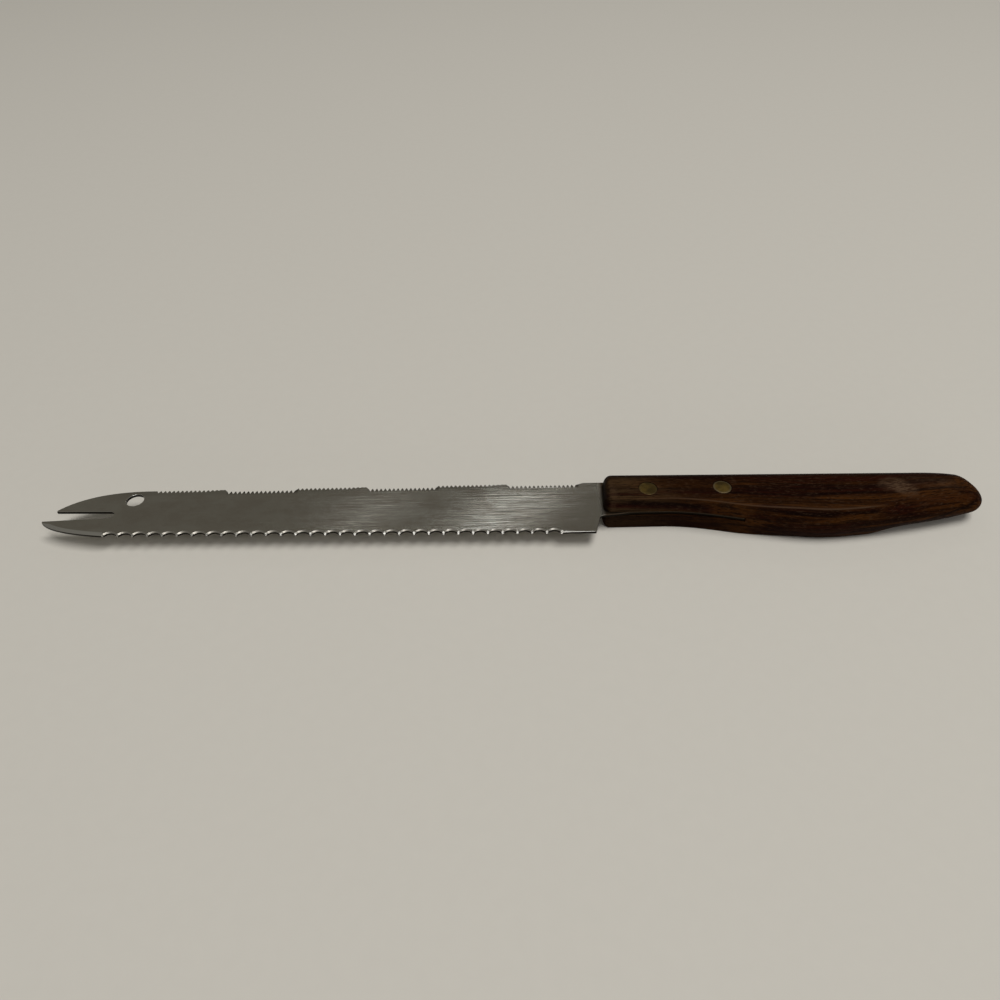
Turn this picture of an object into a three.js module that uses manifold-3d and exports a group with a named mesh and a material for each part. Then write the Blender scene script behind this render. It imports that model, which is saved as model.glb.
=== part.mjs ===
// Serrated kitchen knife: a stamped steel blade with a forked tip, a scalloped cutting edge and
// saw teeth on the spine, set in the saw kerf of a one-piece wooden handle by two brass rivets.
// Each rivet is a pair: a male half with a solid post and a female half with a hollow barrel.
//
// Millimetres. The knife lies on its side: +X runs from tip to butt, +Y from edge to spine, +Z up.
// Pieces are drawn from three datums: x from the handle's front, y from the blade's spine,
// z from the middle of the sheet. The group at the end moves the origin to the handle's underside.

import * as THREE from 'three';
import { mergeVertices } from 'three/addons/utils/BufferGeometryUtils.js';
import Module from 'manifold-3d';

// Blade sheet and outline
const bladeLength = 184.7;
const sheetThickness = 1.1;
const heelDepth = 23.6;
const foreDepth = 20.8;
const heelGap = 3.4;
const heelSlant = 1.7;
const heelFillet = 2.2;

// Forked tip: two tines with a slot between them
const lowerTineRun = 21.6;
const lowerTineDepth = 13.8;
const lowerTineFullness = 3.8;
const lowerTineSag = 1.9;
const upperTineSetback = 3.2;
const upperTineDepth = 9.3;
const upperTineRun = 28.5;
const upperTineFullness = 8.6;
const tineTipWidth = 0.5;
const slotLength = 22.5;
const slotRootWidth = 3;
const slotRootDepth = 11.25;

// Hanging hole
const hangHoleDiameter = 5.65;
const hangHoleFromTip = 27.45;
const hangHoleDepth = 4.4;

// Scalloped cutting edge, ground from the upper face only
const edgeBevelWidth = 0.6;
const scallopPitch = 4.788;
const scallopDepth = 1.25;
const scallopRadius = 2.65;
const scallopChamferWidth = 0.4;
const scallopChamferDepth = 0.4;
const plainEdgeLength = 11;

// Saw teeth on the spine, in groups that stand at two heights in turn
const sawFromTip = 33.6;
const sawGroupLength = 24;
const sawPitch = 1.45;
const sawRecess = 0.9;
const raisedToothDepth = 1.1;
const recessedToothDepth = 1.4;
const fadingTeeth = 4;
const sawRunout = 1.6;

// Handle
const handleLength = 128.3;
const handleThickness = 13.2;
const spineRise = 0.6;
const spineFall = 1.9;
const spineRounding = 6;
const gripDepth = 15.2;
const gripEnd = 20;
const palmPlace = 74;
const palmDepth = 24;
const buttRise = 8.4;
const buttRisePower = 1.5;
const buttNoseDepth = 11.8;
const buttUpperRounding = 7;
const buttLowerRounding = 4.5;
const flankTaper = 22;
const flankTaperPower = 2.4;
const gripCrown = 0.1;
const palmCrown = 2.2;
const crownStart = 42;
const crownEnd = 66;
const creaseEnd = 88;
const creaseFade = 24;
const frontRounding = 2.6;
const frontLean = 1.2;
const frontLeanRun = 14;

// Tang and its kerf
const tangLength = 46;
const tangInset = 0.25;
const tangShoulder = 1.1;
const tangShoulderRun = 11;
const kerfClearance = 0.3;

// Rivets
const rivetFromFront = 14.8;
const rivetFromTangEnd = 6.4;
const rivetDepth = 10;
const rivetHeadDiameter = 6.1;
const rivetHeadThickness = 1.2;
const rivetHeadSink = 0.05;
const rivetBarrelDiameter = 4;
const rivetPostDiameter = 2.4;
const rivetClearance = 0.1;

// How finely the round forms are faceted
const roundSegments = 32;
const scallopSegments = 36;
const cutOvershoot = 1;

const sheetTop = sheetThickness / 2;
const handleTop = handleThickness / 2;
const lowerTip = -bladeLength;
const upperTip = lowerTip + upperTineSetback;
const edgeStart = lowerTip + lowerTineRun;
const heelCorner = -heelGap;
const sawGroups = Math.floor((bladeLength - sawFromTip - sawRunout) / sawGroupLength);
const rivetSpacing = tangLength - rivetFromFront - rivetFromTangEnd;

const wasm = await Module();
wasm.setup();

// Solid from a closed three.js geometry
function solidOf(geometry) {
  const bare = geometry.clone();
  bare.deleteAttribute('normal');
  bare.deleteAttribute('uv');
  const merged = mergeVertices(bare, 1e-5);
  return new wasm.Manifold(new wasm.Mesh({
    numProp: 3,
    vertProperties: new Float32Array(merged.attributes.position.array),
    triVerts: new Uint32Array(merged.index.array),
  }));
}

// Geometry from a solid
function geometryOf(solid) {
  const mesh = solid.getMesh();
  const geometry = new THREE.BufferGeometry();
  geometry.setAttribute('position', new THREE.BufferAttribute(mesh.vertProperties, 3));
  geometry.setIndex(new THREE.BufferAttribute(mesh.triVerts, 1));
  geometry.computeVertexNormals();
  return geometry;
}

// One solid with each cutter taken out of it
function cutAll(solid, cutters) {
  return cutters.reduce((rest, cutter) => rest.subtract(cutter), solid);
}

// Round solid about a vertical axis at (x, y), from profile points [radius, z]
function turned(profile, segments, x, y) {
  const points = profile.map(([radius, z]) => new THREE.Vector2(radius, z));
  const lathe = new THREE.LatheGeometry(points, segments);
  lathe.rotateX(Math.PI / 2);
  lathe.translate(x, y, 0);
  return lathe;
}

// Plain upright cylinder between two heights
function post(radius, low, high, x, y) {
  const cylinder = new THREE.CylinderGeometry(radius, radius, high - low, roundSegments);
  cylinder.rotateX(Math.PI / 2);
  cylinder.translate(x, y, (low + high) / 2);
  return cylinder;
}

const rivetPlaces = [rivetFromFront, rivetFromFront + rivetSpacing];

// Drop of a quarter ellipse over its run, from 0 at the start to 1 at the end
function quarterEllipse(share) {
  const held = THREE.MathUtils.clamp(share, 0, 1);
  return 1 - Math.sqrt(1 - held * held);
}

// Handle's spine, a straight line that falls toward the butt
function spineLine(x) {
  return spineRise - spineFall * (x / handleLength);
}

// Handle's belly: level under the grip, full at the palm, rising to the butt
function bellyLine(x) {
  if (x <= palmPlace) {
    return -THREE.MathUtils.lerp(gripDepth, palmDepth, THREE.MathUtils.smoothstep(x, gripEnd, palmPlace));
  }
  return -palmDepth + buttRise * Math.pow((x - palmPlace) / (handleLength - palmPlace), buttRisePower);
}

// Height of the spine side, rounded down to the butt's nose
function handleUpper(x) {
  const rounding = quarterEllipse((x - handleLength + buttUpperRounding) / buttUpperRounding);
  return THREE.MathUtils.lerp(spineLine(x), -buttNoseDepth, rounding);
}

// Height of the belly side, rounded up to the butt's nose
function handleLower(x) {
  const rounding = quarterEllipse((x - handleLength + buttLowerRounding) / buttLowerRounding);
  return THREE.MathUtils.lerp(bellyLine(x), -buttNoseDepth, rounding);
}

// Half of the handle's thickness, drawn in toward the butt
function handleHalfThickness(x) {
  const share = THREE.MathUtils.clamp((x - handleLength + flankTaper) / flankTaper, 0, 1);
  return handleTop * Math.pow(1 - Math.pow(share, flankTaperPower), 1 / flankTaperPower);
}

// Ring of points around the handle at one station, drawn in by an inset at the rounded front
function handleRing(x, inset) {
  const upper = handleUpper(x) - inset;
  const lower = handleLower(x) + inset;
  const half = handleHalfThickness(x) - inset;
  const halfHeight = (upper - lower) / 2;
  const spineRun = Math.min(spineRounding, halfHeight);
  const butt = THREE.MathUtils.smoothstep(x, creaseEnd, creaseEnd + creaseFade);
  const palm = THREE.MathUtils.smoothstep(x, crownStart, crownEnd);
  const crown = THREE.MathUtils.lerp(THREE.MathUtils.lerp(gripCrown, palmCrown, palm), halfHeight, butt);
  const lean = frontLean * (1 - THREE.MathUtils.smoothstep(x, 0, frontLeanRun)) / (upper - lower);
  const ring = [];
  const place = (y, z) => ring.push(new THREE.Vector3(x + lean * (y - lower), y, z));
  const spineSteps = 10;
  for (let step = 0; step <= spineSteps; step++) {
    const angle = Math.PI * (step / spineSteps - 0.5);
    place(upper - spineRun + spineRun * Math.cos(angle), half * Math.sin(angle));
  }
  const crownSteps = 8;
  for (let step = 0; step <= crownSteps; step++) {
    const across = Math.cos(Math.PI * step / crownSteps);
    const arched = across * across;
    const round = 1 - Math.sqrt(Math.max(0, 1 - arched));
    place(lower + crown * THREE.MathUtils.lerp(arched, round, butt), half * across);
  }
  return ring;
}

// Closed skin through a row of rings, each end shut by a fan about its middle
function skinOver(rings) {
  const count = rings[0].length;
  const middle = (ring) => ring.reduce((sum, p) => sum.add(p), new THREE.Vector3()).divideScalar(count);
  const points = rings.flat();
  const firstMiddle = points.length;
  const lastMiddle = firstMiddle + 1;
  const ends = [middle(rings[0]), middle(rings[rings.length - 1])];
  const faces = [];
  for (let side = 0; side < count; side++) {
    const next = (side + 1) % count;
    for (let row = 0; row + 1 < rings.length; row++) {
      const low = row * count;
      const high = low + count;
      faces.push(low + side, low + next, high + side);
      faces.push(low + next, high + next, high + side);
    }
    const top = (rings.length - 1) * count;
    faces.push(firstMiddle, next, side);
    faces.push(lastMiddle, top + side, top + next);
  }
  const geometry = new THREE.BufferGeometry().setFromPoints(points.concat(ends));
  geometry.setIndex(faces);
  return geometry;
}

// Stations along the handle: close together over the rounded front and butt
function handleSkin() {
  const rings = [];
  const frontSteps = 4;
  for (let step = 0; step < frontSteps; step++) {
    const angle = (Math.PI / 2) * (step / frontSteps);
    rings.push(handleRing(frontRounding * (1 - Math.cos(angle)), frontRounding * (1 - Math.sin(angle))));
  }
  const bodyEnd = handleLength - buttUpperRounding;
  const bodySteps = 24;
  for (let step = 0; step <= bodySteps; step++) {
    rings.push(handleRing(THREE.MathUtils.lerp(frontRounding, bodyEnd, step / bodySteps), 0));
  }
  const buttSteps = 7;
  for (let step = 1; step < buttSteps; step++) {
    rings.push(handleRing(bodyEnd + buttUpperRounding * Math.sin((Math.PI / 2) * (step / buttSteps)), 0));
  }
  return skinOver(rings);
}

// Saw kerf for the tang, open at the front, the spine and the belly
function kerfCutter() {
  const length = tangLength + kerfClearance + frontRounding + cutOvershoot;
  const height = 2 * (palmDepth + spineRise + cutOvershoot);
  const kerf = new THREE.BoxGeometry(length, height, sheetThickness + 2 * kerfClearance);
  kerf.translate(tangLength + kerfClearance - length / 2, 0, 0);
  return kerf;
}

// Rivet hole through the handle, widened at both faces for the heads
function rivetHoleCutters(x) {
  const headRadius = rivetHeadDiameter / 2 + rivetClearance;
  const headSeat = handleTop - rivetHeadSink - rivetHeadThickness - rivetClearance;
  const beyond = handleTop + cutOvershoot;
  return [
    post(rivetBarrelDiameter / 2 + rivetClearance, -beyond, beyond, x, -rivetDepth),
    post(headRadius, headSeat, beyond, x, -rivetDepth),
    post(headRadius, -beyond, -headSeat, x, -rivetDepth),
  ];
}

function handleGeometry() {
  const cutters = [kerfCutter(), ...rivetPlaces.flatMap(rivetHoleCutters)].map(solidOf);
  return geometryOf(cutAll(solidOf(handleSkin()), cutters));
}

// Depth of the cutting edge below the spine, falling evenly from the fork to the heel
function edgeLine(x) {
  return -THREE.MathUtils.mapLinear(x, edgeStart, heelCorner, foreDepth, heelDepth);
}

// Saw teeth from the heel toward the tip; the teeth of a raised group die out at its heel end
function drawSaw(outline) {
  const teeth = Math.floor(sawGroupLength / sawPitch);
  const sawEnd = lowerTip + sawFromTip + sawGroups * sawGroupLength;
  outline.lineTo(sawEnd + sawRunout, 0);
  for (let group = sawGroups - 1; group >= 0; group--) {
    const recessed = group % 2 === 1;
    const start = lowerTip + sawFromTip + group * sawGroupLength;
    const crest = recessed ? -sawRecess : 0;
    for (let tooth = teeth - 1; tooth >= 0; tooth--) {
      const x = start + tooth * sawPitch;
      const fade = Math.min(1, (teeth - tooth) / (fadingTeeth + 1));
      const depth = recessed ? recessedToothDepth : raisedToothDepth * fade;
      outline.lineTo(x + sawPitch, crest);
      outline.lineTo(x + sawPitch / 2, crest - depth);
    }
    outline.lineTo(start, crest);
  }
}

// Both tines and the slot between them, from the spine round to the cutting edge
function drawFork(outline) {
  const slotRoot = lowerTip + slotLength;
  const rootRadius = slotRootWidth / 2;
  outline.lineTo(upperTip + upperTineRun, 0);
  outline.quadraticCurveTo(upperTip + upperTineFullness, 0, upperTip, -upperTineDepth + tineTipWidth);
  outline.lineTo(upperTip, -upperTineDepth);
  outline.lineTo(slotRoot - rootRadius, -slotRootDepth + rootRadius);
  outline.absarc(slotRoot - rootRadius, -slotRootDepth, rootRadius, Math.PI / 2, -Math.PI / 2, true);
  outline.lineTo(lowerTip, -lowerTineDepth);
  outline.lineTo(lowerTip, -lowerTineDepth - tineTipWidth);
  const sag = lowerTineSag - foreDepth;
  outline.quadraticCurveTo(lowerTip + lowerTineFullness, sag, edgeStart, -foreDepth);
}

// Height of the tang's lower edge: just inside the handle's belly, with a shoulder below it at the front
function tangLine(x) {
  const shoulder = tangShoulder * (1 - THREE.MathUtils.smoothstep(x, 0, tangShoulderRun));
  return bellyLine(x) + tangInset - shoulder;
}

// Heel, then the tang's lower edge
function drawHeelAndTang(outline) {
  const tangFront = heelCorner + heelSlant;
  const shoulder = tangLine(0);
  outline.lineTo(heelCorner, -heelDepth);
  outline.lineTo(tangFront, shoulder - heelFillet);
  outline.quadraticCurveTo(tangFront, shoulder, tangFront + heelFillet, shoulder);
  const steps = 14;
  for (let step = 1; step <= steps; step++) {
    const x = THREE.MathUtils.lerp(tangFront + heelFillet, tangLength, step / steps);
    outline.lineTo(x, tangLine(x));
  }
}

function circlePath(x, y, radius) {
  return new THREE.Path().absarc(x, y, radius, 0, 2 * Math.PI, true);
}

function bladeSheet() {
  const outline = new THREE.Shape();
  outline.moveTo(tangLength, Math.min(0, spineLine(tangLength) - tangInset));
  outline.lineTo(0, 0);
  drawSaw(outline);
  drawFork(outline);
  drawHeelAndTang(outline);
  const barrelHole = rivetBarrelDiameter / 2 + rivetClearance;
  outline.holes.push(circlePath(lowerTip + hangHoleFromTip, -hangHoleDepth, hangHoleDiameter / 2));
  rivetPlaces.forEach((x) => outline.holes.push(circlePath(x, -rivetDepth, barrelHole)));
  const sheet = new THREE.ExtrudeGeometry(outline, {
    depth: sheetThickness,
    bevelEnabled: false,
    curveSegments: roundSegments / 2,
  });
  sheet.translate(0, 0, -sheetTop);
  return sheet;
}

// Round scallop, widened by a chamfer at the upper face
function scallopCutter(x) {
  const beyond = sheetTop + cutOvershoot;
  const spread = scallopChamferWidth * (1 + cutOvershoot / scallopChamferDepth);
  const profile = [
    [0, -beyond],
    [scallopRadius, -beyond],
    [scallopRadius, sheetTop - scallopChamferDepth],
    [scallopRadius + spread, beyond],
    [0, beyond],
  ];
  return turned(profile, scallopSegments, x, edgeLine(x) + scallopDepth - scallopRadius);
}

// Wedge that bevels the upper face down to the cutting edge, from the fork to the heel
function edgeBevelCutter() {
  const rise = cutOvershoot * edgeBevelWidth / sheetThickness;
  const wedge = new THREE.Shape();
  wedge.moveTo(-rise, -sheetTop - cutOvershoot);
  wedge.lineTo(edgeBevelWidth + rise, sheetTop + cutOvershoot);
  wedge.lineTo(-edgeBevelWidth - cutOvershoot, sheetTop + cutOvershoot);
  wedge.lineTo(-edgeBevelWidth - cutOvershoot, -sheetTop - cutOvershoot);
  const run = new THREE.Vector2(heelCorner - edgeStart, foreDepth - heelDepth);
  const prism = new THREE.ExtrudeGeometry(wedge, {
    depth: run.length() + cutOvershoot,
    bevelEnabled: false,
  });
  const along = new THREE.Vector3(run.x, run.y, 0).normalize();
  const up = new THREE.Vector3(0, 0, 1);
  const across = new THREE.Vector3().crossVectors(up, along);
  prism.applyMatrix4(new THREE.Matrix4().makeBasis(across, up, along).setPosition(edgeStart, -foreDepth, 0));
  return prism;
}

function bladeGeometry() {
  const scallopedRun = heelCorner - plainEdgeLength - edgeStart;
  const scallopCount = Math.floor(scallopedRun / scallopPitch);
  const cutters = [edgeBevelCutter()];
  for (let scallop = 0; scallop < scallopCount; scallop++) {
    cutters.push(scallopCutter(edgeStart + (scallop + 0.5) * scallopPitch));
  }
  return geometryOf(cutAll(solidOf(bladeSheet()), cutters.map(solidOf)));
}

// Male rivet half: head under the handle, solid post up into the barrel
function maleRivetGeometry(x) {
  const face = -handleTop + rivetHeadSink;
  const shoulder = face + rivetHeadThickness;
  const headRadius = rivetHeadDiameter / 2;
  const postRadius = rivetPostDiameter / 2;
  const postEnd = handleTop - rivetHeadSink - rivetHeadThickness - rivetClearance;
  const profile = [
    [0, face],
    [headRadius, face],
    [headRadius, shoulder],
    [postRadius, shoulder],
    [postRadius, postEnd],
    [0, postEnd],
  ];
  return turned(profile, roundSegments, x, -rivetDepth);
}

// Female rivet half: head on top of the handle, hollow barrel down to the male head
function femaleRivetGeometry(x) {
  const face = handleTop - rivetHeadSink;
  const shoulder = face - rivetHeadThickness;
  const barrelEnd = -shoulder + rivetClearance;
  const boreRadius = rivetPostDiameter / 2 + rivetClearance;
  const profile = [
    [0, shoulder],
    [boreRadius, shoulder],
    [boreRadius, barrelEnd],
    [rivetBarrelDiameter / 2, barrelEnd],
    [rivetBarrelDiameter / 2, shoulder],
    [rivetHeadDiameter / 2, shoulder],
    [rivetHeadDiameter / 2, face],
    [0, face],
  ];
  return turned(profile, roundSegments, x, -rivetDepth);
}

const satinSteel = { color: 0x8f8b82, roughness: 0.38, metalness: 1 };
const darkHardwood = { color: 0x3a2014, roughness: 0.5, metalness: 0 };
const dullBrass = { color: 0x8a7440, roughness: 0.45, metalness: 1 };

function namedMesh(name, geometry, finish) {
  const mesh = new THREE.Mesh(geometry, new THREE.MeshStandardMaterial(finish));
  mesh.name = name;
  return mesh;
}

const knife = new THREE.Group();
knife.name = 'serrated_knife';
knife.add(namedMesh('blade', bladeGeometry(), satinSteel));
knife.add(namedMesh('handle', handleGeometry(), darkHardwood));
['front', 'rear'].forEach((place, index) => {
  knife.add(namedMesh(`${place}_rivet_male`, maleRivetGeometry(rivetPlaces[index]), dullBrass));
  knife.add(namedMesh(`${place}_rivet_female`, femaleRivetGeometry(rivetPlaces[index]), dullBrass));
});

// Origin on the handle's underside, midway between the rivets
knife.position.set(-rivetFromFront - rivetSpacing / 2, rivetDepth, handleTop);

export default knife;
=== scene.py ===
"""Serrated kitchen knife with a forked tip: steel blade, one-piece wooden handle and brass rivets."""

import math
from typing import NamedTuple

import bmesh
import bpy
from bpy.props import FloatProperty, FloatVectorProperty, IntProperty, PointerProperty
from bpy.types import Operator, Panel, PropertyGroup
from mathutils import Euler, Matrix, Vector


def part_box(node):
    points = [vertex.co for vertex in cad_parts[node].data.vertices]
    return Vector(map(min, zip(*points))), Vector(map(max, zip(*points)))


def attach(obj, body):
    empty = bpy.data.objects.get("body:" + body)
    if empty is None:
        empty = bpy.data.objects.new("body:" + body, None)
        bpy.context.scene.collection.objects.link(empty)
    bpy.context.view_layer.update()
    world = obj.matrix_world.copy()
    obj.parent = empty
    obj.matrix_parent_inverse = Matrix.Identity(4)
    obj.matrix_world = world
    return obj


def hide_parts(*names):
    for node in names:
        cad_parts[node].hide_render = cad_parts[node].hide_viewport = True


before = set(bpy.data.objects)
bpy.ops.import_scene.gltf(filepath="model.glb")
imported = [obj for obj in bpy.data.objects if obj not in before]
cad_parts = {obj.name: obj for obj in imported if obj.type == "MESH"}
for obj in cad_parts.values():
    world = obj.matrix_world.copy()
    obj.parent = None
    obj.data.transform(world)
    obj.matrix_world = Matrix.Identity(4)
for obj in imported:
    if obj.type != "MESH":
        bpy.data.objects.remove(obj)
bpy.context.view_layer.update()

bl_info = {
    "name": "Serrated Knife",
    "version": (1, 0, 0),
    "blender": (4, 5, 0),
    "location": "View3D > Sidebar > Knife",
    "description": "Builds a serrated kitchen knife with a forked tip and a riveted wooden handle",
    "category": "Object",
}

MM = 0.001

# The pieces are drawn from three datums: x from the handle's front, y from the blade's spine,
# z from the middle of the sheet. This is where those datums lie.
DATUM = Vector((
    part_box("handle")[0].x,
    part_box("blade")[1].y,
    (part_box("blade")[0].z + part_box("blade")[1].z) / 2,
))

# How finely the round forms are faceted
CURVE_STEPS = 28
FILLET_STEPS = 7
GULLET_SIDES = 112
HOLE_SIDES = 64
RIVET_SIDES = 72
HEAD_STEPS = 8
RIM_STEPS = 6
SPINE_STEPS = 24
FLANK_STEPS = 12
CREASE_STEPS = 6
BELLY_STEPS = 24
FRONT_STEPS = 8
BODY_STEPS = 150
BUTT_STEPS = 22
FLOOR_STEPS = 8
SHARP_ANGLE = math.radians(24)

# Points nearer to each other than this become one, in the blanks and in the finished pieces
BLANK_WELD = 0.001 * MM
PIECE_WELD = 0.0005 * MM

# Upward tilts, as a normal's z, that part the blade's walls, steep bevels, chamfers, shallow bevels
# and flat faces from each other
WALL_TILT = 0.2
STEEP_TILT = 0.6
SHALLOW_TILT = 0.8
FLAT_TILT = 0.98

# Cutters pass through the sheet by so many times its thickness. A chamfer's cone starts inside the wall and
# ends above the face, by these shares of the chamfer.
CUTTER_REACH = 4.0
CONE_INSIDE = 0.25
CONE_ABOVE = 1.0
NOTCH_SIDES = 4

# Share of the lower tine over which its bevel opens, and of its last step after which the bevel ends
BEVEL_OPENING = 0.25
BEVEL_END = 0.75
# Share of the plain edge, at the heel, along which its bevel is narrowest
NARROW_SHARE = 1 / 3
# Least spread of a corner's two sides, so that a bevel doesn't run far into a sharp corner
LEAST_SPREAD = 0.4
# How strongly the crease's rounding grows along its fade, and the most of the thickness that it may take
CREASE_SWELL = 6
CREASE_MOST = 1 / 8

# Middle of a noise's values, which run from 0 to 1
MIDDLE = 0.5


class Pattern(NamedTuple):
    """Noise on a surface

    It has so many features in a metre along each axis. A mark made from it grows from nothing to full
    over a band of its values. It can be turned about z and shifted away from the other patterns.
    """

    stretch: tuple
    band: tuple = (0.0, 1.0)
    detail: float = 2.0
    roughness: float = 0.5
    turned: float = 0.0
    shift: float = 0.0


# Marks on the steel, and how strongly they tint it
STEEL_STREAKS = Pattern((15.0, 1100.0, 1100.0), detail=3.0, roughness=0.6, turned=-0.02)
STEEL_BRUSHING = Pattern((60.0, 7000.0, 7000.0))
STEEL_CLOUDS = Pattern((30.0, 55.0, 55.0), (0.3, 0.7), 4.0, 0.6)
STEEL_STAINS = Pattern((110.0, 170.0, 170.0), (0.42, 0.66), 4.0, 0.7, shift=17.0)
STEEL_SCRATCHES = (
    Pattern((38.0, 5200.0, 800.0), (0.74, 0.80), 1.0, turned=0.10, shift=7.0),
    Pattern((30.0, 4300.0, 800.0), (0.76, 0.82), 1.0, turned=-0.22, shift=11.0),
)
STAIN_SHARE = 0.5
SCRATCH_SHARE = 0.4
# Painted shadow along the saw teeth: its share on the set-down groups and where the clouds lie
TOOTH_SHADOW_SHARE = 0.45
CLOUD_SHADOW_SHARE = 0.2

# Where marks on the blade grow from nothing to full: painted shadow along the teeth up to the spine, a
# set-down group within its pair and past the first tooth, painted shade on the tang along the kerf and up to
# its upper corner
TOOTH_SHADOW_HEIGHTS = (-3.0 * MM, -1.3 * MM)
SET_DOWN_PART = (0.49, 0.51)
FIRST_TOOTH_PART = (0.0, 0.02)
KERF_SHADE_PLACES = (-1.5 * MM, 1.0 * MM)
TANG_SHADE_HEIGHTS = (0.1 * MM, 0.35 * MM)

# The sheet isn't quite flat: it twists about a line at this depth below its spine, by a slope for each metre
# from that line, and near the spine it leans toward the edge
TWIST_LINE = 14.0 * MM
TWIST = -2.2
LEAN_HEIGHTS = (-10.0 * MM, -1.0 * MM)
LEAN = -0.08

# Roughness of the steel's faces and what its marks add, then that of the ground and stamped surfaces
FACE_ROUGHNESS = 0.15
STREAK_ROUGHNESS = 0.2
CLOUD_ROUGHNESS = 0.06
SCRATCH_ROUGHNESS = 0.1
GROUND_ROUGHNESS = 0.24
HOLLOW_ROUGHNESS = 0.35
SHEARED_ROUGHNESS = 0.55

# Depth of the relief in the steel, and the share of it that each mark has
STEEL_RELIEF = 0.012 * MM
BRUSHING_RELIEF = 0.2
STREAK_RELIEF = 9.0
SCRATCH_RELIEF = 0.4

# Marks in the wood, most of them along its grain, and how strongly they tint it
WOOD_STREAKS = Pattern((10.0, 650.0, 650.0), (0.48, 0.62), 3.0, 0.6)
WOOD_FIGURE = Pattern((16.0, 240.0, 240.0), (0.46, 0.62), 3.0, 0.55, shift=5.0)
WOOD_FIBRE = Pattern((60.0, 1700.0, 1700.0), (0.46, 0.64), 3.0, 0.65)
WOOD_PORES = Pattern((420.0, 3000.0, 3000.0), (0.56, 0.68), 1.0, shift=2.0)
WOOD_FLECKS = Pattern((520.0, 2200.0, 2200.0), (0.52, 0.70), 2.0, 0.7, shift=13.0)
WOOD_MOTTLE = Pattern((260.0, 900.0, 900.0), (0.34, 0.74), 3.0, 0.7, shift=3.0)
WOOD_WANDER = Pattern((70.0, 200.0, 200.0), detail=3.0, shift=9.0)
BROWN_BAND = (0.36, 0.50)
WARM_SHARE = 0.9
DARK_STREAK_SHARE = 0.72
FIBRE_SHARE = 0.55
PORE_SHARE = 0.7
SPECK_SHARE = 0.3

# How far the veins and patches stray from their lines, and the patches more so along the handle
WANDER_REACH = 1.6 * MM
PATCH_STRAY = 2.0

# The grain dips under the grip and climbs again toward the butt: start, end and fall of each bend
GRAIN_BENDS = ((24.0 * MM, 72.0 * MM, 3.4 * MM), (86.0 * MM, 130.0 * MM, -5.2 * MM))
# Besides, it sways: features in a metre, their detail, and how far it sways along each axis
SWAY_SCALE = 22.0
SWAY_DETAIL = 2.0
SWAY_REACH = (0.0, 3.0 * MM, 3.0 * MM)

# Where parts of the handle start and end: its belly, its olive front (painted sheen), the painted shade on
# its spine and front face, and the painted shadow on the band of the belly under the tang
BELLY_HEIGHTS = (-15.2 * MM, -12.5 * MM)
SHEEN_FRONT_PLACES = (5.0 * MM, 34.0 * MM)
SPINE_SHADE_HEIGHTS = (-6.5 * MM, -2.5 * MM)
FRONT_FACE_SHADE_PLACES = (0.4 * MM, 2.6 * MM)
UNDER_TANG_SHADOW_HEIGHTS = (-1.6 * MM, -0.2 * MM)
UNDER_TANG_SHADOW_PLACES = (34.0 * MM, 58.0 * MM)
# How dark each is: painted shade on the spine and front face, painted shadow under the tang
SPINE_SHADE = 0.9
FRONT_FACE_SHADE = 0.8
UNDER_TANG_SHADOW_SHARE = 0.6

# The front of the wood is painted with an olive sheen, with less warm figure, fewer dark streaks and less
# wear
FRONT_OLIVE_SHEEN = 0.8
FRONT_WARM_LOSS = 0.8
FRONT_STREAK_LOSS = 0.25
FRONT_WEAR_LOSS = 0.5

# How the fibres show in the veins and in the worn crease: least share, and what the fibres add
VEIN_FIBRE = (0.65, 0.5)
CREASE_FIBRE = (0.45, 0.9)
# How the pale patches, worn and painted sheen alike, break up: least share, what the mottle adds, and how
# far flecks change the mottle
SCUFF_LEAST = 0.22
SCUFF_MOTTLE = 0.74
SCUFF_FLECK = 1.3

# Roughness of the wood and what its marks add; its gloss, relief and the fibres' share of that
WOOD_ROUGHNESS = 0.48
FIGURE_ROUGHNESS = 0.2
PORE_ROUGHNESS = 0.2
WORN_ROUGHNESS = 0.1
WOOD_GLOSS = 0.016
WOOD_RELIEF = 0.03 * MM
FIBRE_RELIEF = 0.5

# Dark veins in the wood, in millimetres: the axis across them, start and end as (x, across), half width
VEINS = (
    ("Y", (36.0, -12.5), (65.0, -15.2), 0.9),
    ("Y", (59.0, -14.8), (97.0, -13.9), 1.2),
    ("Y", (90.0, -15.2), (127.0, -10.4), 0.6),
    ("Z", (3.0, 5.1), (36.0, 2.9), 1.6),
    ("Z", (55.0, 4.3), (76.0, 4.8), 0.9),
    ("Z", (76.0, 5.5), (90.0, 5.0), 0.8),
    ("Z", (95.0, -4.3), (129.0, 3.8), 0.9),
)
# Share of a vein's half width that is fully dark, and of its length over which each end thins out
VEIN_CORE = 0.15
VEIN_FADE = 0.22

# Patches on the wood: their finish, middle and reach on the flank in millimetres, and how strong
PATCHES = (
    # These five pale patches, at the front and near the butt, are painted sheen; the two after them are wear
    ("worn", (3.0, -11.5), (1.8, 7.0), 0.50),
    ("worn", (97.2, -10.6), (6.6, 4.6), 0.92),
    ("worn", (100.2, -13.2), (5.4, 3.8), 0.72),
    ("worn", (107.0, -9.6), (14.0, 4.4), 0.34),
    ("worn", (117.0, -10.0), (6.0, 4.0), 0.22),
    ("worn", (43.9, -7.0), (0.7, 2.6), 0.40),
    ("worn", (75.0, -6.3), (2.2, 1.0), 0.20),
    ("dark", (31.0, -7.5), (17.0, 6.5), 0.62),
    ("warm", (42.5, -17.6), (10.0, 4.0), 1.00),
    ("warm", (114.0, -17.0), (18.0, 5.5), 0.60),
)

# Reach of the wear beside the crease, and where it opens and closes, the latter from the crease's end
WEAR_BAND = 0.5 * MM
WEAR_OPENING = (6.0 * MM, 14.0 * MM)
WEAR_CLOSING = (-5.0 * MM, 5.0 * MM)

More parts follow.
